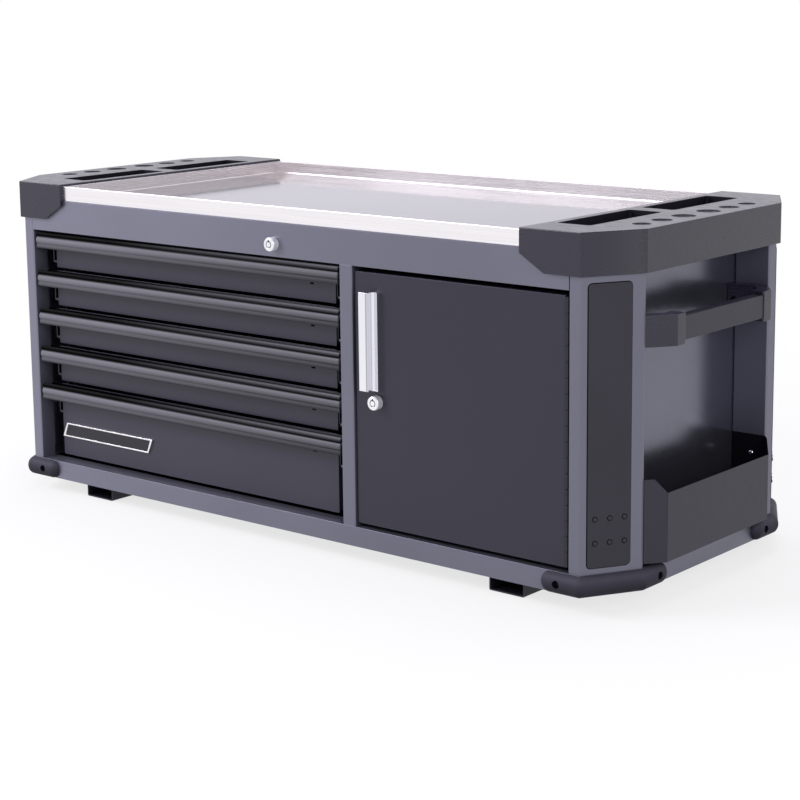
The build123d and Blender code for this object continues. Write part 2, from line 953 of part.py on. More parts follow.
def middle_member(n):
    """Intermediate slide members of drawer n."""
    start = slide_sheet + slide_side_play
    lost = slide_sheet + slide_play
    web = (start, start + slide_sheet)
    return both_sides(slide_member(n, web, (start, slide_lip), lost))


def inner_member(n):
    """Drawer-side slide members of drawer n."""
    lost = 2 * (slide_sheet + slide_play)
    start = 2 * (slide_sheet + slide_side_play)
    web = (slide_space - slide_sheet, slide_space)
    return both_sides(slide_member(n, web, (start, slide_space), lost))


def drawer_box(n):
    """Drawer shell with its front sheet, back notch and slide members."""
    z0 = drawer_bottom(n) + drawer_floor_lift
    z1 = drawer_top(n) - drawer_side_drop
    y0 = drawer_face_y + drawer_front_sheet
    t = drawer_sheet
    body = block(drawer_left, drawer_right, y0, drawer_back_y, z0, z1)
    body -= block(drawer_left + t, drawer_right - t, y0, drawer_back_y - t, z0 + t, z1)
    body += block(drawer_left, drawer_right, drawer_face_y, y0,
                  drawer_bottom(n), drawer_top(n) - drawer_front_drop)
    half = notch_width / 2
    body -= block(top_lock_x - half, top_lock_x + half, drawer_back_y - t, drawer_back_y,
                  z1 - notch_depth, z1)
    slot = Pos(drawer_right - front_slot_inset, y0 + 1, drawer_top(n) - front_slot_drop)
    slot *= Plane.XZ * SlotOverall(front_slot_length, front_slot_height)
    body -= extrude(slot, drawer_front_sheet + 2)
    return joined([body] + inner_member(n))


def pull_section(x):
    """Cross-section of a drawer pull at x with its top at z = 0."""
    y0 = drawer_face_y
    nose = y0 - pull_reach + pull_bulge
    h = pull_height
    wall = pull_wall
    place = Plane(origin=(x, 0, 0), x_dir=(0, 1, 0), z_dir=(1, 0, 0))
    drop = pull_back_drop
    face = Pos(y0 - wall / 2, -(h + drop) / 2) * Rectangle(wall, h - drop)
    face += Pos((y0 + nose) / 2, -h + wall / 2) * Rectangle(y0 - nose, wall)
    face += Pos(nose + wall / 2, -(h + pull_roll) / 2) * Rectangle(wall, h - pull_roll)
    roll = Pos(nose + pull_roll - pull_roll_lap, -pull_roll)
    face += roll * Circle(pull_roll)
    face -= roll * Circle(pull_roll_bore)
    top = -2 * pull_roll - pull_groove
    split = -h + pull_lip_height
    for high, low, bulge in ((top, split, pull_bulge), (split, -h, pull_lip_bulge)):
        arc = ThreePointArc((nose, high), (nose - bulge, (high + low) / 2), (nose, low))
        face += make_face([arc, Line((nose, low), (nose, high))])
    return place * face


def drawer_pull(n):
    """Full-width extruded pull of drawer n, open at its ends."""
    x0 = pull_end_gap - opening_half
    return Pos(0, 0, drawer_top(n)) * extrude(pull_section(x0), bay_width - 2 * pull_end_gap)


def slide_uprights():
    """Four channels that carry the cabinet-side slide members."""
    z1 = z_open_top - upright_top_gap
    shapes = []
    x0 = -side_x + sheet
    x1 = x0 + upright_reach
    for y in (-body_y + upright_front, body_y - upright_rear):
        channel = block(x0, x1, y, y + upright_width, z_pan, z1)
        channel -= block(x0, x1 - sheet, y + sheet, y + upright_width - sheet, z_pan, z1)
        shapes += both_sides(channel)
    return joined(shapes)


def slide_outer_rails():
    """All ten cabinet-side slide members."""
    shapes = []
    for n in range(1, drawer_count + 1):
        shapes += outer_member(n)
    return joined(shapes)


def drawer_plate():
    """Plain slanted plate on the bottom drawer, with a raised border."""
    x = drawer_left + plate_left
    z = drawer_bottom(drawer_count) + plate_bottom
    y1 = drawer_face_y
    y0 = y1 - plate_thickness
    b = plate_border
    slope = plate_slant / plate_height
    outer = [(x, z), (x + plate_length, z), (x + plate_length + plate_slant, z + plate_height),
             (x + plate_slant, z + plate_height)]
    inner = [(x + 2 * b + b * slope, z + b), (x + plate_length - b, z + b),
             (x + plate_length + plate_slant - 2 * b - b * slope, z + plate_height - b),
             (x + plate_slant + b, z + plate_height - b)]
    return along_y(outer, y0, y1) - along_y(inner, y0, y0 + plate_recess)


# Door

def door_skin():
    """Front sheet of the door with folded edges."""
    body = block(door_left, door_right, door_face_y, door_back_y - door_sheet,
                 door_bottom, door_top)
    edges = body.faces().sort_by(Axis.Y)[0].edges()
    body = fillet(edges, 1.2)
    t = door_sheet
    body -= block(door_left + t, door_right - t, door_face_y + t, door_back_y,
                  door_bottom + t, door_top - t)
    hole = lock_neck_radius + lock_neck_clearance
    return body - rod_y(door_lock_x, door_lock_z, hole, door_face_y - 1, door_face_y + t + 1)


def door_liner():
    """Flat sheet closing the back of the door."""
    y0 = door_back_y - door_sheet
    body = block(door_left, door_right, y0, door_back_y, door_bottom, door_top)
    hole = lock_neck_radius + lock_neck_clearance
    return body - rod_y(door_lock_x, door_lock_z, hole, y0 - 1, door_back_y + 1)


def door_handle():
    """Extruded pull with a raised finger flange on its left half."""
    x0 = post_right_x + handle_left
    x1 = x0 + handle_width
    xs = x0 + handle_step
    y = door_face_y
    z0 = handle_z
    plan = [(x0, y - handle_front), (xs, y - handle_front), (xs, y - handle_low),
            (x1, y - handle_low), (x1, y), (xs - handle_wall, y),
            (xs - handle_wall, y - handle_front + handle_wall),
            (x0, y - handle_front + handle_wall)]
    body = prism(plan, z0, z0 + handle_length)
    middle = (xs + x1) / 2
    hollow = rod_z(middle, y - handle_low - handle_hollow_offset, handle_hollow_radius,
                   z0, z0 + handle_length)
    body -= hollow & block(xs, x1 - handle_margin, y - handle_front, y, z0, z0 + handle_length)
    tips = body.edges().filter_by(Axis.Z).sort_by(Axis.X)[:2]
    return fillet(tips, handle_tip_radius)


def lock_barrel(x, z, y, neck):
    """Round lock housing standing proud of a panel whose face is at y."""
    body = rod_y(x, z, lock_radius, y - lock_proud, y)
    body = fillet(body.faces().sort_by(Axis.Y)[0].edges(), lock_edge_radius)
    body += rod_y(x, z, lock_neck_radius, y, y + neck)
    body -= rod_y(x, z, plug_radius + plug_play, y - lock_proud, y + neck)
    half = key_notch_width / 2
    return body - block(x - half, x + half, y - lock_proud, y - lock_proud + key_groove_depth,
                        z, z + plug_radius + key_notch_reach)


def lock_plug(x, z, y, length):
    """Turning plug whose front is turned down to the round post of a tubular key."""
    front = y - lock_proud
    step = front + key_groove_depth
    post_front = rod_y(x, z, key_post_radius, front, step)
    post_front = chamfer(post_front.faces().sort_by(Axis.Y)[0].edges(), key_post_chamfer)
    half = key_notch_width / 2
    post_front -= block(x - half, x + half, front, step,
                        z + key_post_radius - key_post_notch, z + plug_radius)
    return post_front + rod_y(x, z, plug_radius, step, front + length)


def door_lock_plug():
    """Door lock plug with its cam, hanging down when unlocked."""
    z = door_lock_z
    cam_y = door_face_y + door_lock_neck + cam_gap
    length = lock_proud + door_lock_neck + cam_gap + cam_sheet
    body = lock_plug(door_lock_x, z, door_face_y, length)
    cam = block(door_lock_x - cam_half, door_lock_x + cam_half, cam_y, cam_y + cam_sheet,
                z - cam_length, z + cam_half + cam_tail)
    return body + cam


def hinge_knuckles(own):
    """Every second knuckle of the hinge, starting at index own."""
    shapes = []
    for i in range(own, hinge_count, 2):
        z0 = hinge_bottom + i * hinge_pitch + hinge_end_play
        z1 = hinge_bottom + (i + 1) * hinge_pitch - hinge_end_play
        knuckle = rod_z(hinge_x, hinge_y, knuckle_radius, z0, z1)
        shapes.append((knuckle, z0, z1))
    return shapes


def hinge_half(own, leaf_x, depth):
    """Hinge leaf with its knuckles; leaf_x is the outer side of the leaf."""
    way = 1 if leaf_x > hinge_x else -1
    inner = leaf_x - way * hinge_leaf
    z1 = hinge_bottom + hinge_length
    body = block(min(leaf_x, inner), max(leaf_x, inner), hinge_y, hinge_y + depth,
                 hinge_bottom, z1)
    for knuckle, low, high in hinge_knuckles(own):
        root = hinge_x + way * (hinge_pin_radius + 0.8)
        body += knuckle
        body += block(min(root, inner), max(root, inner), hinge_y, hinge_y + 1, low, high)
    return body - rod_z(hinge_x, hinge_y, hinge_pin_radius + hinge_play, hinge_bottom, z1)


def hinge_pin():
    """Pin through all knuckles."""
    z1 = hinge_bottom + hinge_length
    return rod_z(hinge_x, hinge_y, hinge_pin_radius, hinge_bottom, z1)


# Drawer lock

def top_lock_plug():
    """Plug of the drawer lock."""
    return lock_plug(top_lock_x, lock_z, -body_y, lock_proud + top_lock_neck + plug_tail)


def lock_rod():
    """Rod from the lock plug to the crank at the back."""
    start = -body_y + top_lock_neck + plug_tail
    disc = bar_front_y - crank_gap - crank_disc
    body = rod_y(top_lock_x, lock_z, lock_rod_radius, start, disc + crank_disc)
    body += rod_y(top_lock_x, lock_z, crank_disc_radius, disc, disc + crank_disc)
    pin_x = top_lock_x + crank_radius
    body += rod_y(pin_x, lock_z, crank_pin_radius, disc + crank_disc,
                  disc + crank_disc + crank_pin_length)
    return body


def lock_bar():
    """Vertical strip with one hook over the back of every drawer."""
    half = lock_bar_width / 2
    y0 = bar_front_y
    y1 = y0 + lock_bar_sheet
    body = block(top_lock_x - half, top_lock_x + half, y0, y1, z_floor + lock_bar_lift,
                 lock_z + lock_bar_top_margin)
    body -= block(top_lock_x - crank_pin_radius - lock_slot_side,
                  top_lock_x + crank_radius + crank_pin_radius + lock_slot_side,
                  y0, y1, lock_z - lock_slot_half, lock_z + lock_slot_half)
    w = lock_hook_width / 2
    tip_y = drawer_back_y - lock_hook_reach
    for n in range(1, drawer_count + 1):
        notch = drawer_top(n) - drawer_side_drop - notch_depth
        tip = notch + lock_hook_clear
        arm = tip + lock_hook_tip
        body += block(top_lock_x - w, top_lock_x + w, tip_y, y0, arm, arm + lock_hook_sheet)
        body += block(top_lock_x - w, top_lock_x + w, tip_y, tip_y + lock_hook_sheet,
                      tip, arm)
    return body


def lock_bar_guides():
    """Guide blocks of the lock bar on the back panel and the rod bearing."""
    half = lock_bar_width / 2 + slide_play
    y0 = bar_front_y - guide_front
    shapes = []
    for z in (z_floor + guide_lift, lock_z - guide_drop):
        guide = block(top_lock_x - guide_half, top_lock_x + guide_half, y0,
                      body_y - sheet, z, z + guide_height)
        guide -= block(top_lock_x - half, top_lock_x + half, bar_front_y - slide_play,
                       bar_front_y + lock_bar_sheet + slide_play, z, z + guide_height)
        shapes.append(guide)
    y1 = y0 - crank_disc - bearing_gap
    bearing = block(top_lock_x - bearing_half, top_lock_x + bearing_half,
                    y1 - bearing_depth, y1, lock_z - bearing_drop, z_under_deck)
    bearing -= rod_y(top_lock_x, lock_z, lock_rod_radius + plug_play,
                     y1 - bearing_depth, y1)
    shapes.append(bearing)
    return joined(shapes)


# Cupboard

def cupboard_shelf():
    """Shelf with turned-down front and back edges."""
    x0 = partition_x + sheet + shelf_gap
    x1 = side_x - sheet - shelf_gap
    z1 = shelf_top_z
    body = block(x0, x1, shelf_front_y, shelf_back_y, z1 - shelf_flange, z1)
    t = shelf_sheet
    body -= block(x0, x1, shelf_front_y + t, shelf_back_y - t, z1 - shelf_flange, z1 - t)
    return body


def shelf_clips():
    """Four angle clips under the shelf."""
    top = shelf_top_z - shelf_sheet
    shapes = []
    for y in (-body_y + clip_front, body_y - clip_rear):
        for wall, way in ((partition_x + sheet, 1), (side_x - sheet, -1)):
            x0, x1 = sorted((wall, wall + way * shelf_sheet))
            clip = block(x0, x1, y, y + clip_width, top - clip_height, top)
            x0, x1 = sorted((wall, wall + way * clip_reach))
            clip += block(x0, x1, y, y + clip_width, top - shelf_sheet, top)
            shapes.append(clip)
    return joined(shapes)


def all_nodes():
    """Every node of the cabinet by name."""
    nodes = {
        "base_frame": base_frame(),
        "base_pan": base_pan(),
        "runners": runners(),
        "corner_bumpers": joined(four_corners([bumper()])),
        "bumper_screws": bumper_screws(),
        "post_front_left": mirror_x(front_post()),
        "post_front_right": with_bin_bores(front_post(), recess_front_y),
        "post_rear_left": mirror_x(rear_post()),
        "post_rear_right": with_bin_bores(rear_post(), recess_rear_y),
        "post_inserts": joined(four_corners([post_insert()])),
        "side_panel_left": mirror_x(side_panel()),
        "side_panel_right": side_panel(),
        "back_panel": back_panel(),
        "top_rail": top_rail(),
        "centre_post": centre_post(),
        "partition": partition(),
        "top_deck": top_deck(),
        "worktop_tray": worktop_tray(),
        "tray_underlay": tray_underlay(),
        "end_cap_left": mirror_x(end_cap()),
        "end_cap_right": end_cap(),
        "handle_mounts_left": mirror_x(mount_pair()),
        "handle_mounts_right": mount_pair(),
        "side_handle_left": mirror_x(handle_bar()),
        "side_handle_right": handle_bar(),
        "side_bin": side_bin(),
        "side_screws": side_screws(),
        "slide_uprights": slide_uprights(),
        "slide_outer_rails": slide_outer_rails(),
        "cupboard_shelf": cupboard_shelf(),
        "shelf_clips": shelf_clips(),
        "hinge_frame_leaf": hinge_half(0, opening_half, hinge_frame_leaf_depth),
        "hinge_pin": hinge_pin(),
        "hinge_door_leaf": hinge_half(1, door_right, hinge_door_leaf_depth),
        "door_skin": door_skin(),
        "door_liner": door_liner(),
        "door_handle": door_handle(),
        "door_lock_barrel": lock_barrel(door_lock_x, door_lock_z, door_face_y, door_lock_neck),
        "door_lock_plug": door_lock_plug(),
        "top_lock_barrel": lock_barrel(top_lock_x, lock_z, -body_y, top_lock_neck),
        "top_lock_plug": top_lock_plug(),
        "lock_rod": lock_rod(),
        "lock_bar": lock_bar(),
        "lock_bar_guides": lock_bar_guides(),
        "drawer_plate": drawer_plate(),
    }
    for n in range(1, drawer_count + 1):
        nodes[f"drawer_{n}_box"] = drawer_box(n)
        nodes[f"drawer_{n}_pull"] = drawer_pull(n)
        nodes[f"slide_{n}_middle"] = joined(middle_member(n))
    return nodes


os.makedirs("parts", exist_ok=True)
for name, shape in all_nodes().items():
    export_step(shape, f"parts/{name}.step")
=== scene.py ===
import json
import math

import bmesh
import bpy
from bpy.props import FloatProperty, FloatVectorProperty, IntProperty, PointerProperty
from bpy.types import NodeSocket, Operator, Panel, PropertyGroup
from mathutils import Matrix, Vector

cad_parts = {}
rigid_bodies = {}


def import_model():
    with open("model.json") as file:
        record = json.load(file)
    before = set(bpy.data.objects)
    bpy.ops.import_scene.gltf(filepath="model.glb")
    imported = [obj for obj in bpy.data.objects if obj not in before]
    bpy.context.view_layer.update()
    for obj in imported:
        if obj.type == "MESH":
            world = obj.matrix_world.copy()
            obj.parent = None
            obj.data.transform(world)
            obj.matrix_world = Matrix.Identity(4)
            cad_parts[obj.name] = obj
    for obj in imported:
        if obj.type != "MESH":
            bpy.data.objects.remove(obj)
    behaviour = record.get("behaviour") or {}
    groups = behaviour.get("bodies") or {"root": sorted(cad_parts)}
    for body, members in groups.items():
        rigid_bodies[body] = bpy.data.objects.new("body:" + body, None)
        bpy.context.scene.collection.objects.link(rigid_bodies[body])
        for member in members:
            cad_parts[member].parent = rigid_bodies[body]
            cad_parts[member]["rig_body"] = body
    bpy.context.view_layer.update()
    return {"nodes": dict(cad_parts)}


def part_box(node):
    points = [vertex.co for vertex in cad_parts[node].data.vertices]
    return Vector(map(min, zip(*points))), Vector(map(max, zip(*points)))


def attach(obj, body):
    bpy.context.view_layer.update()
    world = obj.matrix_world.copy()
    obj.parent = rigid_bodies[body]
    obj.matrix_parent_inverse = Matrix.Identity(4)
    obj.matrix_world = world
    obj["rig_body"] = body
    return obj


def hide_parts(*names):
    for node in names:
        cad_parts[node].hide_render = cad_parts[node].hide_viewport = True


bl_info = {
    "name": "Tool Cabinet",
    "version": (1, 0, 0),
    "blender": (4, 5, 0),
    "location": "3D View > Sidebar > Tool Cabinet",
    "description": "Dresses the packed tool cabinet with its finishes and fine parts",
    "category": "Object",
}

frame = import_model()

DRAWERS = range(1, 6)
SIDES = ("left", "right")
ENDS = ("front", "rear")

# Sizes in metres that the boxes of the frame do not give
DOT_COLUMNS = (0.0250, 0.0502, 0.0754)
DOT_ROWS = (0.0499, 0.0883)
PAD_PROUD = 0.0015
PAD_ROUNDING = 0.0013
FINE_ROUNDING = 0.0003
BUMPER_ROUNDING = 0.0007
BUMPER_HEAD = 0.003
BUMPER_CORNER = 0.03
BORE_RADIUS = 0.0064
BORE_START, BORE_END = -0.0006, 0.03
SIDE_SHANK = 0.004
TRAY_RIM = 0.0055
TRAY_WALL = 0.006
TRAY_DEPTH = 0.015
BEND_RADIUS = 0.0012
LIP = 0.0005
CAP_WALL = 0.012
CAP_END = 0.03
CAP_FLOOR = 0.571
CAP_SKIN = 0.0025
HOLDER_ROW = 0.660
HOLDER_REACH = 0.021
BIN_FLOOR = 0.01
SLIDE_SPACE = 0.0101
PULL_HEIGHT = 0.030
PLATE_RIM = 0.0004
HINGE_SHEET = 0.0012
HINGE_BORE = 0.00158
GROOVE_START, GROOVE_END = 0.0007, 0.0075
GROOVE_SHARE = 0.30
MERGE_DISTANCE = 2e-6

FLAT_ANGLE = math.radians(0.25)
SHARP_ANGLE = math.radians(38)
FACING = 0.9  # cosine over which a face counts as facing an axis
NOISE = (0.3, 0.7)  # values that smooth noise mostly lies between
ARC = 12  # flats of the bumper's half round


def swatch(name, description, value):
    """Colour property in linear values."""
    return FloatVectorProperty(name=name, description=description, default=value,
                               size=3, min=0.0, max=1.0, subtype="COLOR")


def metres(name, description, value):
    """Length property, shown in the scene's units."""
    return FloatProperty(name=name, description=description, default=value,
                         min=0.0, subtype="DISTANCE", unit="LENGTH")


class CabinetColours(PropertyGroup):
    """Colours of the painted, moulded and metal surfaces."""

    casing: swatch("Casing", "Powder coat of posts, rails and panels", (0.146, 0.147, 0.188))
    fronts: swatch("Fronts", "Paint of the drawer fronts and the door", (0.0165, 0.0148, 0.0280))
    # The drawers' colour is a lighter copy of the fronts' paint: painted light on the drawers.
    drawers: swatch("Drawers", "Satin paint of the drawer shells", (0.0295, 0.0275, 0.0450))
    pulls: swatch("Pulls", "Anodising of the drawer pulls", (0.145, 0.144, 0.160))
    caps: swatch("Caps", "Moulded plastic of the end caps", (0.0160, 0.0138, 0.0268))
    inserts: swatch("Inserts", "Moulded pads in the corner posts", (0.0160, 0.0138, 0.0225))
    bumpers: swatch("Bumpers", "Rubber of the corner bumpers", (0.0480, 0.0460, 0.0600))
    fittings: swatch("Fittings", "Black coat of bin, bars and runners", (0.0160, 0.0142, 0.0255))
    steel: swatch("Steel", "Brushed stainless steel of the tray", (0.88, 0.855, 0.875))
    # Darker than the tray's steel: painted shade on the tray's inner walls and the bend at their foot.
    wall_steel_painted_shade: swatch("Inner walls", "Steel of the tray's inner walls", (0.69, 0.655, 0.65))
    # Darker and bluer than the tray's steel: painted shade on the tray floor.
    floor_steel_painted_shade: swatch("Tray floor", "Steel of the tray floor", (0.44, 0.435, 0.485))
    chrome: swatch("Chrome", "Plated locks and screws", (0.88, 0.88, 0.91))
    handle: swatch("Handle", "Bright aluminium of the door handle", (0.86, 0.855, 0.92))
    # Zinc darkened well below bright plating: painted shade on the slides and the other zinc parts.
    zinc: swatch("Zinc", "Plated slides and lock parts", (0.17, 0.172, 0.182))


class CabinetEdges(PropertyGroup):
    """Widths of the rounded edges."""

    sheet: metres("Sheet", "Edge rounding of folded sheet", 0.0004)
    panel: metres("Panel", "Edge rounding of the door", 0.0007)
    moulding: metres("Moulding", "Edge rounding of moulded plastic", 0.0009)
    lock: metres("Lock", "Edge rounding of the locks and the door handle", 0.0003)


class CabinetFixings(PropertyGroup):
    """Screws, dots and hinge knuckles."""

    bumper_head: metres("Bumper head", "Radius of the bumper screw heads", 0.0044)
    side_head: metres("Side head", "Radius of the screw heads in the recesses", 0.005)
    dot: metres("Dot", "Radius of the dots on the post pads", 0.0034)
    knuckle_gap: metres("Knuckle gap", "Gap between two hinge knuckles", 0.0005)
    knuckles: IntProperty(name="Knuckles", description="Knuckles of the piano hinge, both leaves",
                          default=17, min=2)


class CabinetStage(PropertyGroup):
    """Floor, light and camera."""

    floor_colour: swatch("Floor", "Colour of the floor", (0.90, 0.90, 0.90))
    light_colour: swatch("Light", "Slightly cool tint of the studio light", (0.955, 0.932, 1.0))
    surround: FloatProperty(name="Surround", description="Strength of the even light from all round",
                            default=0.45, min=0.0)
    key: FloatProperty(name="Key", description="Power of the main lamp", default=124.0, min=0.0,
                       unit="POWER")
    fill: FloatProperty(name="Fill", description="Power of the lamp on the other side", default=50.0,
                        min=0.0, unit="POWER")
    lens: FloatProperty(name="Lens", description="Focal length on a 36 mm sensor", default=90.53,
                        min=1.0, unit="CAMERA")


# Node trees

class Nodes:
    """A node tree under construction."""

    def __init__(self, tree):
        self.tree = tree

    def put(self, kind, out, inputs=None, **plain):
        """Output of a new node, or the node if out is None; inputs are values or sockets."""
        made = self.tree.nodes.new(kind)
        for key, value in plain.items():
            setattr(made, key, value)
        for key, value in (inputs or {}).items():
            if isinstance(value, NodeSocket):
                self.tree.links.new(value, made.inputs[key])
            else:
                made.inputs[key].default_value = value
        return made if out is None else made.outputs[out]

    def math(self, operation, first, second):
        """Result of one operation on two numbers."""
        return self.put("ShaderNodeMath", 0, {0: first, 1: second}, operation=operation)


class Shading(Nodes):
    """Shader nodes of a material or a world."""

    def __init__(self, owner):
        owner.use_nodes = True
        super().__init__(owner.node_tree)
        self.tree.nodes.clear()

    def ranged(self, value, low, high, new_low=0.0, new_high=1.0, **plain):
        """Value mapped from one range to another and clamped."""
        return self.put("ShaderNodeMapRange", "Result",
                        {"Value": value, "From Min": low, "From Max": high,
                         "To Min": new_low, "To Max": new_high}, **plain)

    def seen(self, *kinds):
        """1 for camera rays and for the other kinds of ray named."""
        last = self.put("ShaderNodeLightPath", "Is Camera Ray")
        rays = last.node.outputs
        for label in kinds:
            last = self.math("MAXIMUM", last, rays[label])
        return last

    def layered(self, share, under, over):
        """Two shaders, the second showing by its share."""
        return self.put("ShaderNodeMixShader", 0, {0: share, 1: under, 2: over})

    def close(self, shader, kind="ShaderNodeOutputMaterial"):
        """Ends the tree in its output node."""
        self.put(kind, None, {"Surface": shader})


class Finish(Shading):
    """A material whose nodes are built up from object coordinates."""

    def __init__(self, name):
        self.material = bpy.data.materials.new(name)
        super().__init__(self.material)
        self.place = self.put("ShaderNodeTexCoord", "Object")

    def stretched(self, x, y, z):
        """Object coordinates scaled along each axis."""
        return self.put("ShaderNodeMapping", "Vector", {"Vector": self.place, "Scale": (x, y, z)})

    def along(self, axis, low, high):
        """How far one object coordinate lies between two values, from 0 to 1."""
        return self.ranged(self.put("ShaderNodeSeparateXYZ", axis, {0: self.place}), low, high)

    def noise(self, scale, detail=2.0, place=None, rough=0.5):
        """Noise value between 0 and 1."""
        return self.put("ShaderNodeTexNoise", "Fac", {"Vector": place or self.place, "Scale": scale,
                                                      "Detail": detail, "Roughness": rough})

    def cells(self, scale):
        """Distance to the nearest cell centre."""
        return self.put("ShaderNodeTexVoronoi", "Distance", {"Vector": self.place, "Scale": scale})

    def mixed(self, share, first, second, kind="MIX"):
        """Two colours, each a value or a socket, blended by a share."""
        ends = [c if isinstance(c, NodeSocket) else (*c, 1.0) for c in (first, second)]
        return self.put("ShaderNodeMix", 2, {0: share, 6: ends[0], 7: ends[1]},
                        data_type="RGBA", blend_type=kind)

    def between(self, value, first, second, low=NOISE[0], high=NOISE[1]):
        """Blend of two colours while a value runs from low to high."""
        return self.mixed(self.ranged(value, low, high), first, second)

    def streaked(self, tone, value, dark, low=NOISE[0], high=NOISE[1]):
        """Tone that falls to a share of itself where a value is low."""
        return self.mixed(1.0, tone, self.between(value, (dark,) * 3, (1.0,) * 3, low, high), "MULTIPLY")

    def banded(self, value, colour, levels):
        """Colour with bands of brightness, given as (place, level)."""
        made = self.put("ShaderNodeValToRGB", "Color", {"Fac": value})
        line = made.node.color_ramp.elements
        while len(line) < len(levels):
            line.new(0.5)
        for item, (place, level) in zip(line, levels):
            item.position = place
            item.color = (*shade(colour, level), 1.0)
        return made

    def raised(self, height, distance, strength):
        """Normal bent by a height value."""
        return self.put("ShaderNodeBump", "Normal",
                        {"Height": height, "Distance": distance, "Strength": strength})

    def done(self, colour, roughness, normal=None, metal=0.0, specular=0.5):
        """The finished material."""
        inputs = {"Base Color": colour, "Roughness": roughness, "Metallic": metal,
                  "Specular IOR Level": specular}
        if normal is not None:
            inputs["Normal"] = normal
        self.close(self.put("ShaderNodeBsdfPrincipled", "BSDF", inputs))
        return self.material


class Tree(Nodes):
    """Geometry node group with named inputs and a material."""

    def __init__(self, name, **inputs):
        super().__init__(bpy.data.node_groups.new(name, "GeometryNodeTree"))
        face = self.tree.interface
        face.new_socket("Geometry", in_out="INPUT", socket_type="NodeSocketGeometry")
        self.keys = {}
        for label, kind in (*inputs.items(), ("Material", "Material")):
            item = face.new_socket(label, in_out="INPUT", socket_type="NodeSocket" + kind)
            self.keys[label] = item.identifier
        face.new_socket("Geometry", in_out="OUTPUT", socket_type="NodeSocketGeometry")
        self.start = self.put("NodeGroupInput", None)

    def source(self, label):
        """Geometry of the object in one input."""
        return self.put("GeometryNodeObjectInfo", "Geometry", {"Object": self.start.outputs[label]},
                        transform_space="ORIGINAL")

    def close(self, geometry):
        """Ends the tree in Realize Instances and Set Material."""
        real = self.put("GeometryNodeRealizeInstances", "Geometry", {"Geometry": geometry})
        painted = self.put("GeometryNodeSetMaterial", "Geometry",
                           {"Geometry": real, "Material": self.start.outputs["Material"]})
        self.put("NodeGroupOutput", None, {"Geometry": painted})
        return self


def scatter_tree():
    """Copies of a shape on points, each turned by the point's own angles."""
    tree = Tree("Copies on points", Shape="Object", Size="Float")
    given = tree.start.outputs
    turn = tree.put("GeometryNodeInputNamedAttribute", "Attribute", {"Name": "turn"},
                    data_type="FLOAT_VECTOR")
    rotation = tree.put("FunctionNodeEulerToRotation", "Rotation", {"Euler": turn})
    return tree.close(tree.put("GeometryNodeInstanceOnPoints", "Instances", {
        "Points": given["Geometry"], "Instance": tree.source("Shape"), "Rotation": rotation,
        "Scale": given["Size"]}))


def hinge_tree():
    """Leaf with knuckles in a row, every second place of the hinge."""
    tree = Tree("Hinge leaf", Knuckle="Object", Leaf="Object", Count="Int", Pitch="Float",
                Start="Vector")
    given = tree.start.outputs
    step = tree.put("ShaderNodeCombineXYZ", 0, {"Z": tree.math("MULTIPLY", given["Pitch"], 2.0)})
    row = tree.put("GeometryNodeMeshLine", "Mesh",
                   {"Count": given["Count"], "Start Location": given["Start"], "Offset": step},
                   mode="OFFSET", count_mode="TOTAL")
    copies = tree.put("GeometryNodeInstanceOnPoints", "Instances",
                      {"Points": row, "Instance": tree.source("Knuckle")})
    both = tree.put("GeometryNodeJoinGeometry", "Geometry", {0: copies})
    tree.tree.links.new(tree.source("Leaf"), both.node.inputs[0])
    return tree.close(both)


# Materials

def shade(colour, factor):
    """Colour made lighter or darker."""
    return tuple(min(1.0, c * factor) for c in colour)


def powder_coat(name, colour, gloss, peel=0.00012, metal=0.0, sheen=0.4, left=1.0):
    """Baked paint with orange peel, flecks and a slow change of tone.

    metal is its share of metal flake; left is the gain of its tone at the left end, painted light that
    brightens that end.
    """
    made = Finish(name)
    slow = made.noise(3.2, 3.0)
    tone = made.between(slow, shade(colour, 0.95), shade(colour, 1.05))
    # Painted light: the tone is raised by left at the left end and fades to the plain tone towards the
    # right.
    if left != 1.0:
        lit = made.between(slow, shade(colour, 0.95 * left), shade(colour, 1.05 * left))
        tone = made.mixed(made.along("X", -0.65, 0.30), lit, tone)
    flecks = made.ranged(made.noise(5200.0, 0.0), 0.66, 0.8, 0.0, 0.35)
    return made.done(made.mixed(flecks, tone, shade(colour, 1.9)),
                     made.ranged(made.noise(60.0, 3.0), *NOISE, gloss - 0.025, gloss + 0.025),
                     made.raised(made.noise(900.0, 1.0), peel, 0.55), metal, sheen)


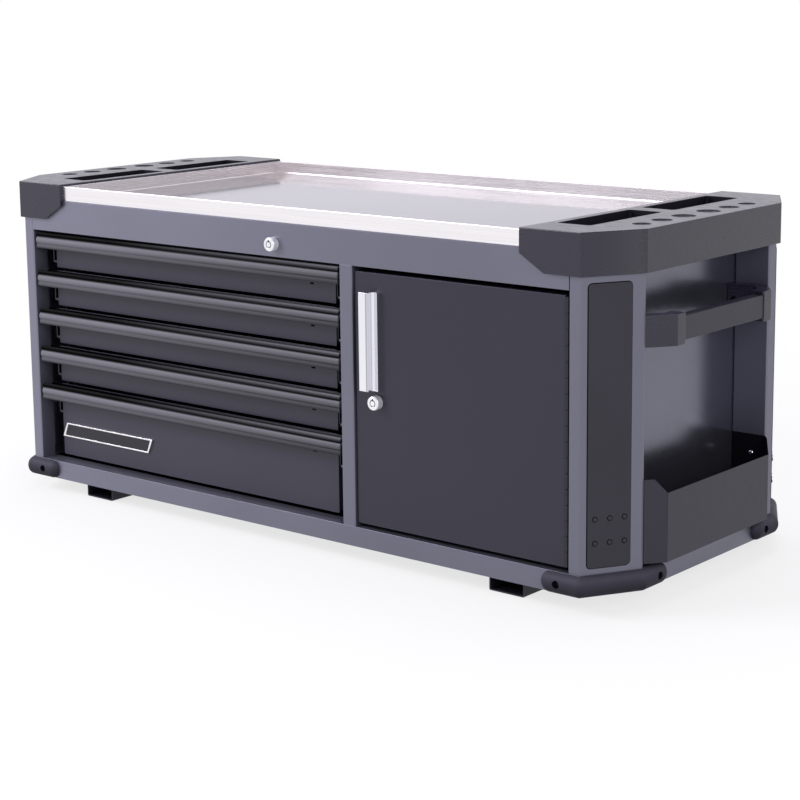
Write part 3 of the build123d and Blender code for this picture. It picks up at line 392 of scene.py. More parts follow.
def pull_satin(name, colour, gloss):
    """Black satin extrusion with painted highlights, painted reflections and painted shade in bands over
    its roll, groove, band and lip.
    """
    made = Finish(name)
    drop = made.put("ShaderNodeAttribute", "Fac", attribute_name="drop")
    # Left end: a faint painted highlight on the roll, painted shadow of the rail above over roll and
    # groove, a painted reflection on the band, painted shade towards the lip.
    left = ((0.0, 0.10), (0.05, 0.06), (0.09, 0.0), (0.24, 0.0), (0.29, 0.55), (0.34, 1.30),
            (0.45, 1.20), (0.60, 0.92), (0.72, 0.72), (0.86, 0.72), (0.93, 0.45), (1.0, 0.20))
    # Right end: a painted highlight on the roll, painted shade in the groove, a painted reflection on
    # the band and a painted dark line above the lip.
    right = ((0.0, 1.30), (0.05, 0.95), (0.10, 0.50), (0.17, 0.24), (0.24, 0.02), (0.30, 0.02),
             (0.34, 1.20), (0.48, 0.85), (0.62, 0.60), (0.71, 0.20), (0.78, 0.48), (1.0, 0.24))
    # The painted bands pass from the left set to the right set along X.
    tone = made.mixed(made.along("X", -0.40, 0.14),
                      made.banded(drop, colour, left), made.banded(drop, colour, right))
    lines = made.noise(1.0, 3.0, made.stretched(2.5, 2600.0, 2600.0), 0.6)
    return made.done(made.streaked(tone, lines, 0.84),
                     made.ranged(lines, *NOISE, gloss - 0.04, gloss + 0.04),
                     made.raised(lines, 0.00001, 0.2), specular=0.02)


def tray_floor_steel(name, colour):
    """Brushed steel of the tray floor with painted shade, darkest at its left end."""
    made = Finish(name)
    lines = made.noise(1.0, 3.0, made.stretched(3.0, 1300.0, 1300.0), 0.65)
    cloud = made.noise(3.0, 3.0, made.stretched(0.6, 1.4, 1.0))
    # Painted shade along X, darkest at the left end and lightest in the middle.
    tone = made.banded(made.along("X", -0.55, 0.55), colour,
                       ((0.0, 0.50), (0.14, 0.72), (0.45, 0.72), (0.8, 0.63), (1.0, 0.60)))
    return made.done(made.streaked(tone, lines, 0.93), made.ranged(cloud, *NOISE, 0.06, 0.10),
                     made.raised(lines, 0.000004, 0.2), 1.0)


def grained_plastic(name, colour, gloss, grain=1400.0, depth=0.00008, sheen=0.4):
    """Moulded plastic with an etched grain and faint scuffs; sheen is its specular level."""
    made = Finish(name)
    scuffs = made.noise(38.0, 5.0, made.stretched(1.0, 3.0, 9.0))
    return made.done(made.between(made.noise(5.0, 3.0), shade(colour, 0.93), shade(colour, 1.07)),
                     made.ranged(scuffs, 0.35, 0.75, gloss - 0.05, gloss + 0.06),
                     made.raised(made.cells(grain), depth, 0.5), specular=sheen)


def rubber(name, colour):
    """Soft matt rubber with a dusty bloom, with painted shade towards its underside and a painted
    highlight near its top.
    """
    made = Finish(name)
    dust = made.noise(24.0, 5.0)
    low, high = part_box("corner_bumpers")
    # Painted shade low down and a painted highlight near the top of the bumper.
    tone = made.banded(made.along("Z", low.z, high.z), colour,
                       ((0.0, 0.35), (0.25, 0.60), (0.60, 1.0), (0.82, 1.45), (1.0, 1.25)))
    return made.done(made.streaked(tone, dust, 0.88, 0.35, 0.8),
                     made.ranged(dust, 0.3, 0.8, 0.46, 0.6),
                     made.raised(made.noise(2200.0, 1.0), 0.00003, 0.4), specular=0.05)


def brushed_metal(name, colour, grain, gloss, depth=0.00003):
    """Metal brushed along one axis; grain is the stretch in X, Y and Z."""
    made = Finish(name)
    lines = made.noise(1.0, 3.0, made.stretched(*grain), 0.65)
    rough = made.math("ADD", made.ranged(lines, *NOISE, gloss - 0.05, gloss + 0.05),
                      made.ranged(made.noise(4.0, 3.0), *NOISE, -0.02, 0.03))
    return made.done(made.between(lines, shade(colour, 0.93), shade(colour, 1.04)), rough,
                     made.raised(lines, depth, 0.4), 1.0)


def handle_metal(name, colour, gloss):
    """Bright extrusion brushed upright, with painted shade in its hollow behind the grip flange."""
    made = Finish(name)
    low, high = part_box("door_handle")
    lines = made.noise(1.0, 3.0, made.stretched(1800.0, 1800.0, 5.0), 0.65)
    # Painted shade in the hollow behind the grip flange and a little at the left edge.
    tone = made.banded(made.along("X", low.x, high.x), colour,
                       ((0.0, 0.85), (0.03, 1.0), (0.46, 1.0), (0.49, 0.45), (0.56, 0.62),
                        (0.65, 0.95), (0.75, 1.0), (1.0, 1.0)))
    return made.done(made.streaked(tone, lines, 0.95),
                     made.ranged(lines, *NOISE, gloss - 0.04, gloss + 0.04),
                     made.raised(lines, 0.00001, 0.3), 1.0)


def polished_metal(name, colour, gloss, metal=1.0):
    """Plated metal with faint handling marks."""
    made = Finish(name)
    marks = made.noise(90.0, 4.0)
    return made.done(made.between(marks, colour, shade(colour, 0.92), 0.4, 0.8),
                     made.ranged(marks, 0.35, 0.8, gloss, gloss + 0.06), metal=metal)


def zinc_plate(name, colour):
    """Zinc-plated steel with a cloudy spangle."""
    made = Finish(name)
    return made.done(made.between(made.cells(160.0), shade(colour, 1.06), shade(colour, 0.9), 0.0, 0.9),
                     made.ranged(made.noise(45.0, 4.0), *NOISE, 0.28, 0.42),
                     made.raised(made.noise(1500.0, 1.0), 0.00004, 0.4), 1.0)


def raw_board(name):
    """Pressed wood board."""
    made = Finish(name)
    chips = made.noise(260.0, 4.0, made.stretched(1.0, 2.5, 1.0))
    return made.done(made.between(chips, (0.50, 0.37, 0.24), (0.33, 0.23, 0.14)), 0.75,
                     made.raised(chips, 0.0002, 0.5))


def natural_nylon(name):
    """Waxy off-white nylon."""
    made = Finish(name)
    tone = made.noise(30.0, 3.0)
    return made.done(made.mixed(tone, (0.72, 0.70, 0.65), (0.80, 0.78, 0.73)),
                     made.ranged(tone, *NOISE, 0.4, 0.5),
                     made.raised(made.noise(900.0, 1.0), 0.00005, 0.4))


def finishes():
    """All materials of the cabinet by name, made on first use."""
    if "casing_powder_coat" in bpy.data.materials:
        return bpy.data.materials
    tint = bpy.context.scene.cabinet_colours
    # left=1.34 paints light on the casing, making it lighter towards its left end.
    powder_coat("casing_powder_coat", tint.casing, 0.36, metal=0.7, left=1.34)
    powder_coat("recess_powder_coat", tint.casing, 0.22, 0.00006, 0.85)
    powder_coat("front_satin_paint", tint.fronts, 0.32, 0.00006)
    powder_coat("drawer_satin_paint", tint.drawers, 0.32, 0.00006)
    powder_coat("fittings_powder_coat", tint.fittings, 0.44, 0.00018)
    # A fifth of the fittings' colour: painted shade inside the bin.
    powder_coat("bin_inner_coat", shade(tint.fittings, 0.2), 0.6, 0.00018, sheen=0.08)
    powder_coat("runner_powder_coat", shade(tint.fittings, 0.9), 0.5, 0.00018)
    powder_coat("plate_dark_field", shade(tint.fronts, 0.5), 0.3, 0.00003)
    powder_coat("seam_shadow", (0.002, 0.002, 0.003), 0.7, 0.00003, sheen=0.02)
    pull_satin("pull_black_satin", tint.pulls, 0.40)
    grained_plastic("cap_grained_plastic", tint.caps, 0.28, depth=0.00004, sheen=0.5)
    # Much lighter than the caps' plastic: painted light on the walls and floors of the holders' bores.
    grained_plastic("cap_bore_plastic", (0.115, 0.110, 0.125), 0.4)
    # A darker copy of the caps' plastic: painted shade in cap pockets and countersinks, bumper bores and
    # round the pad dots.
    grained_plastic("cap_pocket_plastic", shade(tint.caps, 0.4), 0.6, sheen=0.12)
    grained_plastic("insert_matt_plastic", tint.inserts, 0.5, 2000.0, 0.00005)
    rubber("bumper_soft_rubber", tint.bumpers)
    brushed_metal("tray_brushed_steel", tint.steel, (4.0, 1500.0, 1500.0), 0.24)
    brushed_metal("tray_wall_steel", tint.wall_steel_painted_shade, (4.0, 4.0, 1500.0), 0.27, 0.000003)
    brushed_metal("plate_brushed_steel", tint.steel, (5.0, 1800.0, 1800.0), 0.2)
    tray_floor_steel("tray_floor_steel", tint.floor_steel_painted_shade)
    handle_metal("handle_bright_aluminium", tint.handle, 0.17)
    polished_metal("hinge_black", (0.045, 0.044, 0.052), 0.30)
    polished_metal("lock_chrome", tint.chrome, 0.06)
    polished_metal("lock_side_chrome", shade(tint.chrome, 0.9), 0.20, 0.45)
    polished_metal("screw_chrome", tint.chrome, 0.14)
    polished_metal("screw_black_oxide", (0.010, 0.010, 0.011), 0.38)
    zinc_plate("slide_zinc", tint.zinc)
    raw_board("underlay_board")
    natural_nylon("guide_nylon")
    return bpy.data.materials


# Mesh helpers

def placed(name, data):
    """New object at the origin in the scene."""
    made = bpy.data.objects.new(name, data)
    bpy.context.scene.collection.objects.link(made)
    return made


def add_piece(name, mesh, names, slot):
    """Object at the origin made from a mesh, with its materials by name; slot is not used."""
    piece = placed(name, mesh)
    materials = [finishes()[item] for item in names]
    if list(mesh.materials) != materials:
        mesh.materials.clear()
        for material in materials:
            mesh.materials.append(material)
    return piece


def as_mesh(name, shape, names=()):
    """Mesh from mesh data, with its materials by name."""
    mesh = bpy.data.meshes.new(name)
    shape.to_mesh(mesh)
    shape.free()
    for item in names:
        mesh.materials.append(finishes()[item])
    return mesh


def as_object(name, shape):
    """Loose object from mesh data."""
    return placed(name, as_mesh(name, shape))


def evaluated(holder):
    """Mesh of an object with its modifiers applied."""
    graph = bpy.context.evaluated_depsgraph_get()
    return bpy.data.meshes.new_from_object(holder.evaluated_get(graph))


def merged_copy(node):
    """Mesh data of a CAD node with its triangles joined into flat faces."""
    shape = bmesh.new()
    shape.from_mesh(frame["nodes"][node].data)
    bmesh.ops.remove_doubles(shape, verts=shape.verts, dist=MERGE_DISTANCE)
    bmesh.ops.dissolve_limit(shape, angle_limit=FLAT_ANGLE, verts=shape.verts, edges=shape.edges)
    return shape


def rounded(mesh, width, segments=2, angle=SHARP_ANGLE, edge=-1):
    """Mesh with its hard edges rounded, in material number edge if given, and its flats flat."""
    holder = placed("rounding", mesh)
    for face in mesh.polygons:
        face.use_smooth = True
    bevel = holder.modifiers.new("Rounded edges", "BEVEL")
    bevel.width = width
    bevel.segments = segments
    bevel.limit_method = "ANGLE"
    bevel.angle_limit = angle
    bevel.material = edge
    bevel.use_clamp_overlap = False
    bevel.miter_outer = "MITER_ARC"
    normals = holder.modifiers.new("Flat sides", "WEIGHTED_NORMAL")
    normals.keep_sharp = True
    normals.weight = 80
    done = evaluated(holder)
    bpy.data.objects.remove(holder)
    return done


def soften(node, names, slot, width, pick=None, segments=2, angle=SHARP_ANGLE, edge=-1):
    """Piece with rounded edges that stands for a CAD node; pick gives each face its material."""
    shape = merged_copy(node)
    shape.normal_update()
    if pick:
        for face in shape.faces:
            face.material_index = pick(face.calc_center_median(), face.normal)
    names = [names] if isinstance(names, str) else names
    mesh = rounded(as_mesh(node, shape, names), width, segments, angle, edge)
    piece = add_piece(node + "_finished", mesh, names, slot)
    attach(piece, frame["nodes"][node]["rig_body"])
    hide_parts(node)
    return piece


def dress(node, material):
    """Better material on a CAD node that keeps its own mesh."""
    target = frame["nodes"][node]
    if not target.material_slots:
        target.data.materials.append(None)
    for item in target.material_slots:
        item.material = finishes()[material]


def stitched(rings, closed=True):
    """Mesh data with quads between rings of points, each ring open or closed."""
    shape = bmesh.new()
    grid = [[shape.verts.new(point) for point in ring] for ring in rings]
    for near, far in zip(grid, grid[1:] + grid[:1] if closed else grid[1:]):
        for i in range(len(near)):
            j = (i + 1) % len(near)
            shape.faces.new((near[i], near[j], far[j], far[i]))
    return shape


def turned(profile, steps=32):
    """Closed solid of revolution about Z from (radius, height) points, poles included."""
    shape = bmesh.new()
    rings = []
    for radius, height in profile:
        count = steps if radius else 1
        turns = [2 * math.pi * i / steps for i in range(count)]
        rings.append([shape.verts.new((radius * math.cos(t), radius * math.sin(t), height))
                      for t in turns])
    for low, high in zip(rings, rings[1:]):
        for i in range(steps):
            j = (i + 1) % steps
            corners = [low[i % len(low)], low[j % len(low)], high[j % len(high)], high[i % len(high)]]
            unique = list(dict.fromkeys(corners))
            if len(unique) > 2:
                shape.faces.new(unique)
    bmesh.ops.recalc_face_normals(shape, faces=shape.faces)
    return shape


def cut_from(target, tool):
    """Target object with the tool's volume taken out of its mesh."""
    modifier = target.modifiers.new("Cut", "BOOLEAN")
    modifier.operation = "DIFFERENCE"
    modifier.solver = "EXACT"
    modifier.object = tool
    mesh = evaluated(target)
    target.modifiers.remove(modifier)
    target.data = mesh
    bpy.data.objects.remove(tool)
    return target


def box_into(shape, low, high):
    """Adds a box between two corners to mesh data."""
    made = bmesh.ops.create_cube(shape, size=1.0)
    bmesh.ops.scale(shape, vec=Vector(high) - Vector(low), verts=made["verts"])
    bmesh.ops.translate(shape, vec=(Vector(high) + Vector(low)) / 2, verts=made["verts"])


def smooth(mesh, angle=SHARP_ANGLE):
    """Smooth shading with sharp edges over an angle."""
    for face in mesh.polygons:
        face.use_smooth = True
    mesh.set_sharp_from_angle(angle=angle)


def grown(name, mesh, tree, values, finish, slot, body, nodes=()):
    """Runs a tree on a mesh and puts the plain result on a body."""
    holder = placed(name + "_source", mesh)
    modifier = holder.modifiers.new(tree.tree.name, "NODES")
    modifier.node_group = tree.tree
    for label, value in {**values, "Material": finishes()[finish]}.items():
        modifier[tree.keys[label]] = value
    result = evaluated(holder)
    holder.modifiers.remove(modifier)
    bpy.data.objects.remove(holder)
    smooth(result)
    piece = add_piece(name, result, [finish], slot)
    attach(piece, body)
    if nodes:
        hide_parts(*nodes)


def planted(name, tree, shape, size, points, finish, slot, nodes=()):
    """Copies of a shape on the casing at (place, direction) pairs."""
    mesh = bpy.data.meshes.new(name + "_points")
    mesh.from_pydata([place for place, way in points], [], [])
    turns = mesh.attributes.new("turn", "FLOAT_VECTOR", "POINT")
    for item, (place, way) in zip(turns.data, points):
        item.vector = turn_to(way)
    grown(name, mesh, tree, {"Shape": shape, "Size": size}, finish, slot, "casing", nodes)


def turn_to(way):
    """Euler angles that turn +Z to a direction."""
    return Vector(way).to_track_quat("Z", "Y").to_euler()


def screw_shape(name, head, shank_length):
    """Pan-head screw of head radius 1, head upwards, with a cross recess."""
    profile = [(0, -shank_length), (0.4, -shank_length), (0.5, -shank_length + 0.15), (0.5, 0),
               (1.0, 0), (1.0, head * 0.35), (0.94, head * 0.66), (0.78, head * 0.88),
               (0.5, head), (0, head * 1.03)]
    screw = as_object(name, turned(profile))
    cross = bmesh.new()
    wide, narrow, deep = 0.56, 0.13, head * 0.45
    box_into(cross, (-wide, -narrow, deep), (wide, narrow, head * 1.3))
    box_into(cross, (-narrow, -wide, deep), (narrow, wide, head * 1.4))
    return cut_from(screw, as_object("cross", cross))


# Places read from the frame

def span(points):
    """Lowest corner, highest corner and middle of some points."""
    low, high = (Vector([end(p[i] for p in points) for i in range(3)]) for end in (min, max))
    return low, high, Vector([(low[i] + high[i]) / 2 for i in range(3)])


def corner_line():
    """The two points in plan that the front right corner face runs between."""
    low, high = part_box("base_frame")
    mesh = frame["nodes"]["base_frame"].data
    front = max(v.co.x for v in mesh.vertices if v.co.y < low.y + 1e-5)
    side = min(v.co.y for v in mesh.vertices if v.co.x > high.x - 1e-5)
    return Vector((front, low.y, 0)), Vector((high.x, side, 0))


def mirrored(points):
    """Places and directions repeated at all four corners."""
    return [tuple(Vector((v.x * sx, v.y * sy, v.z)) for v in pair)
            for sx in (1, -1) for sy in (1, -1) for pair in points]


class CabinetOperator:
    """Shared settings of the cabinet's operators."""

    bl_options = {"REGISTER", "UNDO"}


class CABINET_OT_base(CabinetOperator, Operator):
    """Base ring, floor sheet and the two runners."""

    bl_idname = "cabinet.base"
    bl_label = "Base and runners"

    def execute(self, context):
        sheet = context.scene.cabinet_edges.sheet
        soften("base_frame", "casing_powder_coat", "body_grey", sheet * 1.5)
        soften("base_pan", "casing_powder_coat", "body_grey", sheet)
        soften("runners", "runner_powder_coat", "body_grey", sheet)
        return {"FINISHED"}


class CABINET_OT_bumpers(CabinetOperator, Operator):
    """Rubber corner bumpers and their screws."""

    bl_idname = "cabinet.bumpers"
    bl_label = "Corner bumpers"

    def execute(self, context):
        centres = self.screw_places()
        self.strips(centres[:2])
        shape = screw_shape("bumper_screw", 0.68, 2.6)
        planted("bumper_screw_heads", scatter_tree(), shape, context.scene.cabinet_fixings.bumper_head,
                centres, "screw_black_oxide", "screw_black", ["bumper_screws"])
        bpy.data.objects.remove(shape)
        return {"FINISHED"}

    def strips(self, holes):
        """All four strips, made from the front right one."""
        first = as_object("bumper_strip", self.strip())
        for place, way in holes:
            bore = turned([(0, BORE_START), (BORE_RADIUS, BORE_START),
                           (BORE_RADIUS, BORE_END), (0, BORE_END)], 28)
            bore.transform(Matrix.Translation(place) @ turn_to(way).to_matrix().to_4x4())
            cut_from(first, as_object("bore", bore))
        shape = bmesh.new()
        shape.from_mesh(first.data)
        bpy.data.objects.remove(first)
        bmesh.ops.remove_doubles(shape, verts=shape.verts, dist=MERGE_DISTANCE)
        # Faces inside the counterbores take the dark second material: painted shade in the bores.
        for face in shape.faces:
            face.material_index = int(any(all(self.in_bore(vert.co, place, way) for vert in face.verts)
                                          for place, way in holes))
        for axis in ((-1, 1, 1), (1, -1, 1)):
            whole = shape.verts[:] + shape.edges[:] + shape.faces[:]
            copy = bmesh.ops.duplicate(shape, geom=whole)["geom"]
            verts = [item for item in copy if isinstance(item, bmesh.types.BMVert)]
            faces = [item for item in copy if isinstance(item, bmesh.types.BMFace)]
            bmesh.ops.scale(shape, vec=axis, verts=verts)
            bmesh.ops.reverse_faces(shape, faces=faces)
        names = ["bumper_soft_rubber", "cap_pocket_plastic"]
        mesh = rounded(as_mesh("corner_bumpers", shape, names), BUMPER_ROUNDING, 2, math.radians(28))
        piece = add_piece("corner_bumpers_finished", mesh, names, "bumper_rubber")
        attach(piece, "casing")
        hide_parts("corner_bumpers")

    def in_bore(self, point, place, way):
        """Whether a point lies in the counterbore of a screw."""
        gap = point - place
        return (gap - way * gap.dot(way)).length < BORE_RADIUS + 0.0002

    def strip(self):
        """Half-round strip round the front right corner with blunt round ends."""
        low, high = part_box("corner_bumpers")
        own = self.front_right("corner_bumpers")
        first, last = corner_line()
        line = [Vector((min(c.x for c in own), first.y, 0)), first, last,
                Vector((last.x, max(c.y for c in own), 0))]
        proud = high.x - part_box("base_frame")[1].x
        half, centre = (high.z - low.z) / 2, (high.z + low.z) / 2
        rings = []
        for place, way, grow in self.stations(line, proud):
            ring = []
            for i in range(ARC + 1):
                turn = math.pi * (i / ARC - 0.5)
                reach = proud * math.cos(turn) * grow[0]
                ring.append((place.x + way.x * reach, place.y + way.y * reach,
                             centre + half * math.sin(turn) * grow[1]))
            rings.append(ring)
        shape = stitched(rings, closed=False)
        bmesh.ops.remove_doubles(shape, verts=shape.verts, dist=1e-5)
        bmesh.ops.dissolve_degenerate(shape, edges=shape.edges, dist=1e-6)
        bmesh.ops.recalc_face_normals(shape, faces=shape.faces)
        return shape

    def stations(self, line, proud):
        """Points along the wall line with their outward direction and the section's growth."""
        blunt = proud * 1.1
        ways = [(b - a).normalized() for a, b in zip(line, line[1:])]
        outs = [Vector((w.y, -w.x, 0)) for w in ways]
        ends = []
        for start, way, out in ((line[0], ways[0], outs[0]), (line[3], -ways[2], outs[2])):
            ends.append([(start + way * blunt * (1 - math.cos(step)), out, (math.sin(step),) * 2)
                         for step in map(math.radians, (0.5, 15, 30, 45, 60, 75, 90))])
        corners = [(line[i], outs[i - 1].slerp(outs[i], part), (1.0 + 0.18 * part * (1 - part), 1.0))
                   for i in (1, 2) for part in (0.0, 0.25, 0.5, 0.75, 1.0)]
        return ends[0] + corners + ends[1][::-1]

    def front_right(self, node):
        """Points of a node in the front right quarter."""
        return [v.co for v in frame["nodes"][node].data.vertices if v.co.x > 0 and v.co.y < 0]

    def screw_places(self):
        """Seats of the screw heads with their outward directions."""
        own = self.front_right("bumper_screws")
        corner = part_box("post_front_right")[1].x - BUMPER_CORNER
        low, _, middle = span([c for c in own if c.x < corner])
        front = Vector((middle.x, low.y + BUMPER_HEAD, middle.z))
        _, high, middle = span([c for c in own if c.x > corner])
        side = Vector((high.x - BUMPER_HEAD, middle.y, middle.z))
        return mirrored([(front, Vector((0, -1, 0))), (side, Vector((1, 0, 0)))])


class CABINET_OT_casing(CabinetOperator, Operator):
    """Posts, rails, panels and top deck of the casing."""

    bl_idname = "cabinet.casing"
    bl_label = "Casing panels"

    def execute(self, context):
        panels = [f"post_{end}_{side}" for end in ENDS for side in SIDES]
        panels += [f"side_panel_{side}" for side in SIDES]
        for node in panels + ["back_panel", "top_rail", "centre_post", "partition", "top_deck"]:
            paint = "recess_powder_coat" if node.startswith("side_panel") else "casing_powder_coat"
            soften(node, paint, "body_grey", context.scene.cabinet_edges.sheet)
        return {"FINISHED"}


class CABINET_OT_post_pads(CabinetOperator, Operator):
    """Moulded pads in the corner posts with their rows of dots."""

    bl_idname = "cabinet.post_pads"
    bl_label = "Corner post pads"

    def execute(self, context):
        start, end = corner_line()
        along = (end - start).normalized()
        out = Vector((along.y, -along.x, 0))
        outs = [way for _, way in mirrored([(Vector(), out)])]

        # Side faces of the pad take the dark seam material: painted shade round the pad.
        def flank(centre, normal):
            own = next(way for way in outs if way.x * centre.x > 0 and way.y * centre.y > 0)
            return 0 if abs(normal.dot(own)) > 0.7 else 1

        soften("post_inserts", ["insert_matt_plastic", "seam_shadow"], "insert_plastic",
               PAD_ROUNDING, flank, edge=1)
        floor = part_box("post_front_right")[0].z
        dots = mirrored([(start + along * column + out * PAD_PROUD + Vector((0, 0, floor + row)), out)
                         for column in DOT_COLUMNS for row in DOT_ROWS])
        tree = scatter_tree()
        dome = [(1.0, -0.10), (1.0, 0.12), (0.92, 0.30), (0.70, 0.46), (0.38, 0.56), (0, 0.59)]
        # A thin dark ring round the foot of each dot: painted shade where the dot meets the pad.
        painted_shade_ring = [(0.98, -0.03), (1.42, -0.03), (1.42, 0.045), (0.98, 0.045)]
        for name, profile, finish in (("post_pad_dots", dome, "insert_matt_plastic"),
                                      ("post_pad_collars", painted_shade_ring, "cap_pocket_plastic")):
            shape = as_object(name + "_shape", turned(profile, 24))
            planted(name, tree, shape, context.scene.cabinet_fixings.dot, dots, finish,
                    "insert_plastic")
            bpy.data.objects.remove(shape)
        return {"FINISHED"}


class CABINET_OT_tray(CabinetOperator, Operator):
    """Stainless tray and the board under it."""

    bl_idname = "cabinet.tray"
    bl_label = "Tray top"

    def execute(self, context):
        low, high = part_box("worktop_tray")

        def pick(centre, normal):
            inside = all(low[i] + TRAY_RIM < centre[i] < high[i] - TRAY_RIM for i in (0, 1))
            if not inside or centre.z > high.z - LIP:
                return 0
            return 2 if normal.z > FACING else 1

        soften("worktop_tray", ["tray_brushed_steel", "tray_wall_steel", "tray_floor_steel"],
               "stainless", context.scene.cabinet_edges.sheet, pick)
        self.bend(low, high)
        dress("tray_underlay", "underlay_board")
        return {"FINISHED"}

    def bend(self, low, high):
        """Rolled bend along the foot of the tray's four inner walls."""
        tray = frame["nodes"]["worktop_tray"].data
        floor = max(v.co.z for v in tray.vertices if v.co.z < high.z - TRAY_DEPTH)
        profile = [(TRAY_WALL + BEND_RADIUS * (1 - math.cos(turn)), BEND_RADIUS * (1 - math.sin(turn)))
                   for turn in (math.pi / 12 * i for i in range(7))]
        profile.append((TRAY_WALL, -0.0004))
        shape = stitched([[(low.x + inset, low.y + inset, floor + height),
                           (high.x - inset, low.y + inset, floor + height),
                           (high.x - inset, high.y - inset, floor + height),
                           (low.x + inset, high.y - inset, floor + height)]
                          for inset, height in profile])
        bmesh.ops.recalc_face_normals(shape, faces=shape.faces)
        mesh = as_mesh("tray_bend", shape)
        smooth(mesh, math.radians(40))
        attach(add_piece("tray_bend", mesh, ["tray_wall_steel"], "stainless"), "casing")


class CABINET_OT_end_caps(CabinetOperator, Operator):
    """Moulded end caps with tool holders and pockets."""

    bl_idname = "cabinet.end_caps"
    bl_label = "End caps"

    def execute(self, context):
        width = context.scene.cabinet_edges.moulding
        for side in SIDES:
            low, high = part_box(f"end_cap_{side}")

            def pick(centre, normal, low=low, high=high):
                if not (low.x + CAP_WALL < centre.x < high.x - CAP_WALL
                        and low.y + CAP_END < centre.y < high.y - CAP_END):
                    return 0
                # Countersinks and pocket faces take painted shade; the walls and floors of the holders'
                # bores take painted light.
                holder = abs(abs(centre.x) - HOLDER_ROW) < HOLDER_REACH
                if holder and 0.5 < normal.z < 0.97:
                    return 1
                if CAP_FLOOR < centre.z < high.z - CAP_SKIN:
                    return 2 if holder else 1
                return 0

            soften(f"end_cap_{side}", ["cap_grained_plastic", "cap_pocket_plastic", "cap_bore_plastic"],
                   "cap_plastic", width, pick, angle=math.radians(42))
        return {"FINISHED"}


class CABINET_OT_side_handles(CabinetOperator, Operator):
    """Handle bars and their moulded mounts on both sides."""

    bl_idname = "cabinet.side_handles"
    bl_label = "Side handles"

    def execute(self, context):
        edges = context.scene.cabinet_edges
        for side in SIDES:
            soften(f"handle_mounts_{side}", "cap_grained_plastic", "cap_plastic", edges.moulding)
            soften(f"side_handle_{side}", "fittings_powder_coat", "black_steel", edges.sheet)
        return {"FINISHED"}


class CABINET_OT_side_bin(CabinetOperator, Operator):
    """Open sheet bin on the right side."""

    bl_idname = "cabinet.side_bin"
    bl_label = "Side bin"

    def execute(self, context):
        low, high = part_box("side_bin")
        middle = (low.y + high.y) / 2

        # Inward faces and the bin floor take the dark inner material: painted shade inside the bin.
        def pick(centre, normal):
            toward = Vector((low.x - centre.x, middle - centre.y, 0)).normalized()
            on_floor = normal.z > FACING and centre.z < low.z + BIN_FLOOR
            return 1 if normal.dot(toward) > 0.25 or on_floor else 0

        soften("side_bin", ["fittings_powder_coat", "bin_inner_coat"], "black_steel",
               context.scene.cabinet_edges.sheet, pick)
        return {"FINISHED"}


class CABINET_OT_side_screws(CabinetOperator, Operator):
    """Screws of the handle mounts and of the bin."""

    bl_idname = "cabinet.side_screws"
    bl_label = "Side screws"

    def execute(self, context):
        radius = context.scene.cabinet_fixings.side_head
        shape = screw_shape("side_screw", 0.52, 1.4)
        points = self.places()
        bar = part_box("side_handle_right")[0].z
        tree = scatter_tree()
        for name, chosen, finish, slot in (
                ("bin_screw_heads", [p for p in points if p[0].z < bar], "screw_chrome", "chrome"),
                ("mount_screw_heads", [p for p in points if p[0].z > bar], "screw_black_oxide",
                 "screw_black")):
            planted(name, tree, shape, radius, chosen, finish, slot, ["side_screws"])
        bpy.data.objects.remove(shape)
        return {"FINISHED"}

    def places(self):
        """Seats and outward directions of the heads, found from the separate screws of the node."""
        shape = bmesh.new()
        shape.from_mesh(frame["nodes"]["side_screws"].data)
        bmesh.ops.remove_doubles(shape, verts=shape.verts, dist=MERGE_DISTANCE)
        left = set(shape.verts)
        made = []
        while left:
            group, queue = set(), [left.pop()]
            while queue:
                vert = queue.pop()
                group.add(vert)
                for edge in vert.link_edges:
                    other = edge.other_vert(vert)
                    if other in left:
                        left.discard(other)
                        queue.append(other)
            middle = span([v.co for v in group])[2]
            head = [v.co.y for v in group if abs(v.co.x - middle.x) > SIDE_SHANK]
            toward = 1 if (min(head) + max(head)) / 2 > middle.y else -1
            seat = min(head) if toward > 0 else max(head)
            made.append((Vector((middle.x, seat, middle.z)), Vector((0, toward, 0))))
        shape.free()
        return sorted(made, key=lambda item: tuple(item[0]))


class CABINET_OT_drawers(CabinetOperator, Operator):
    """Drawer shells, pulls and the plate on the bottom drawer."""

    bl_idname = "cabinet.drawers"
    bl_label = "Drawers"

    def execute(self, context):
        sheet = context.scene.cabinet_edges.sheet
        for n in DRAWERS:
            low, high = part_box(f"drawer_{n}_box")

            def on_slide(centre, normal, a=low.x + SLIDE_SPACE, b=high.x - SLIDE_SPACE):
                return 0 if a - 1e-5 <= centre.x <= b + 1e-5 else 1

            soften(f"drawer_{n}_box", ["drawer_satin_paint", "slide_zinc"], "front_dark", sheet,
                   on_slide)
            pull = soften(f"drawer_{n}_pull", "pull_black_satin", "aluminium_pull", FINE_ROUNDING)
            self.mark_drop(pull.data)
        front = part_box("drawer_plate")[0].y

        def field(centre, normal):
            return 1 if normal.y < -FACING and centre.y > front + PLATE_RIM else 0

        soften("drawer_plate", ["plate_brushed_steel", "plate_dark_field"], "chrome", FINE_ROUNDING,
               field)
        return {"FINISHED"}

    def mark_drop(self, mesh):
        """Stores how far each point lies below the top of the pull, from 0 to 1."""
        top = max(v.co.z for v in mesh.vertices)
        drop = mesh.attributes.new("drop", "FLOAT", "POINT")
        for item, vert in zip(drop.data, mesh.vertices):
            item.value = (top - vert.co.z) / PULL_HEIGHT


class CABINET_OT_slides(CabinetOperator, Operator):
    """Telescopic slides and the uprights that carry them."""

    bl_idname = "cabinet.slides"
    bl_label = "Drawer slides"

    def execute(self, context):
        for node in ["slide_uprights", "slide_outer_rails"] + [f"slide_{n}_middle" for n in DRAWERS]:
            dress(node, "slide_zinc")
        return {"FINISHED"}


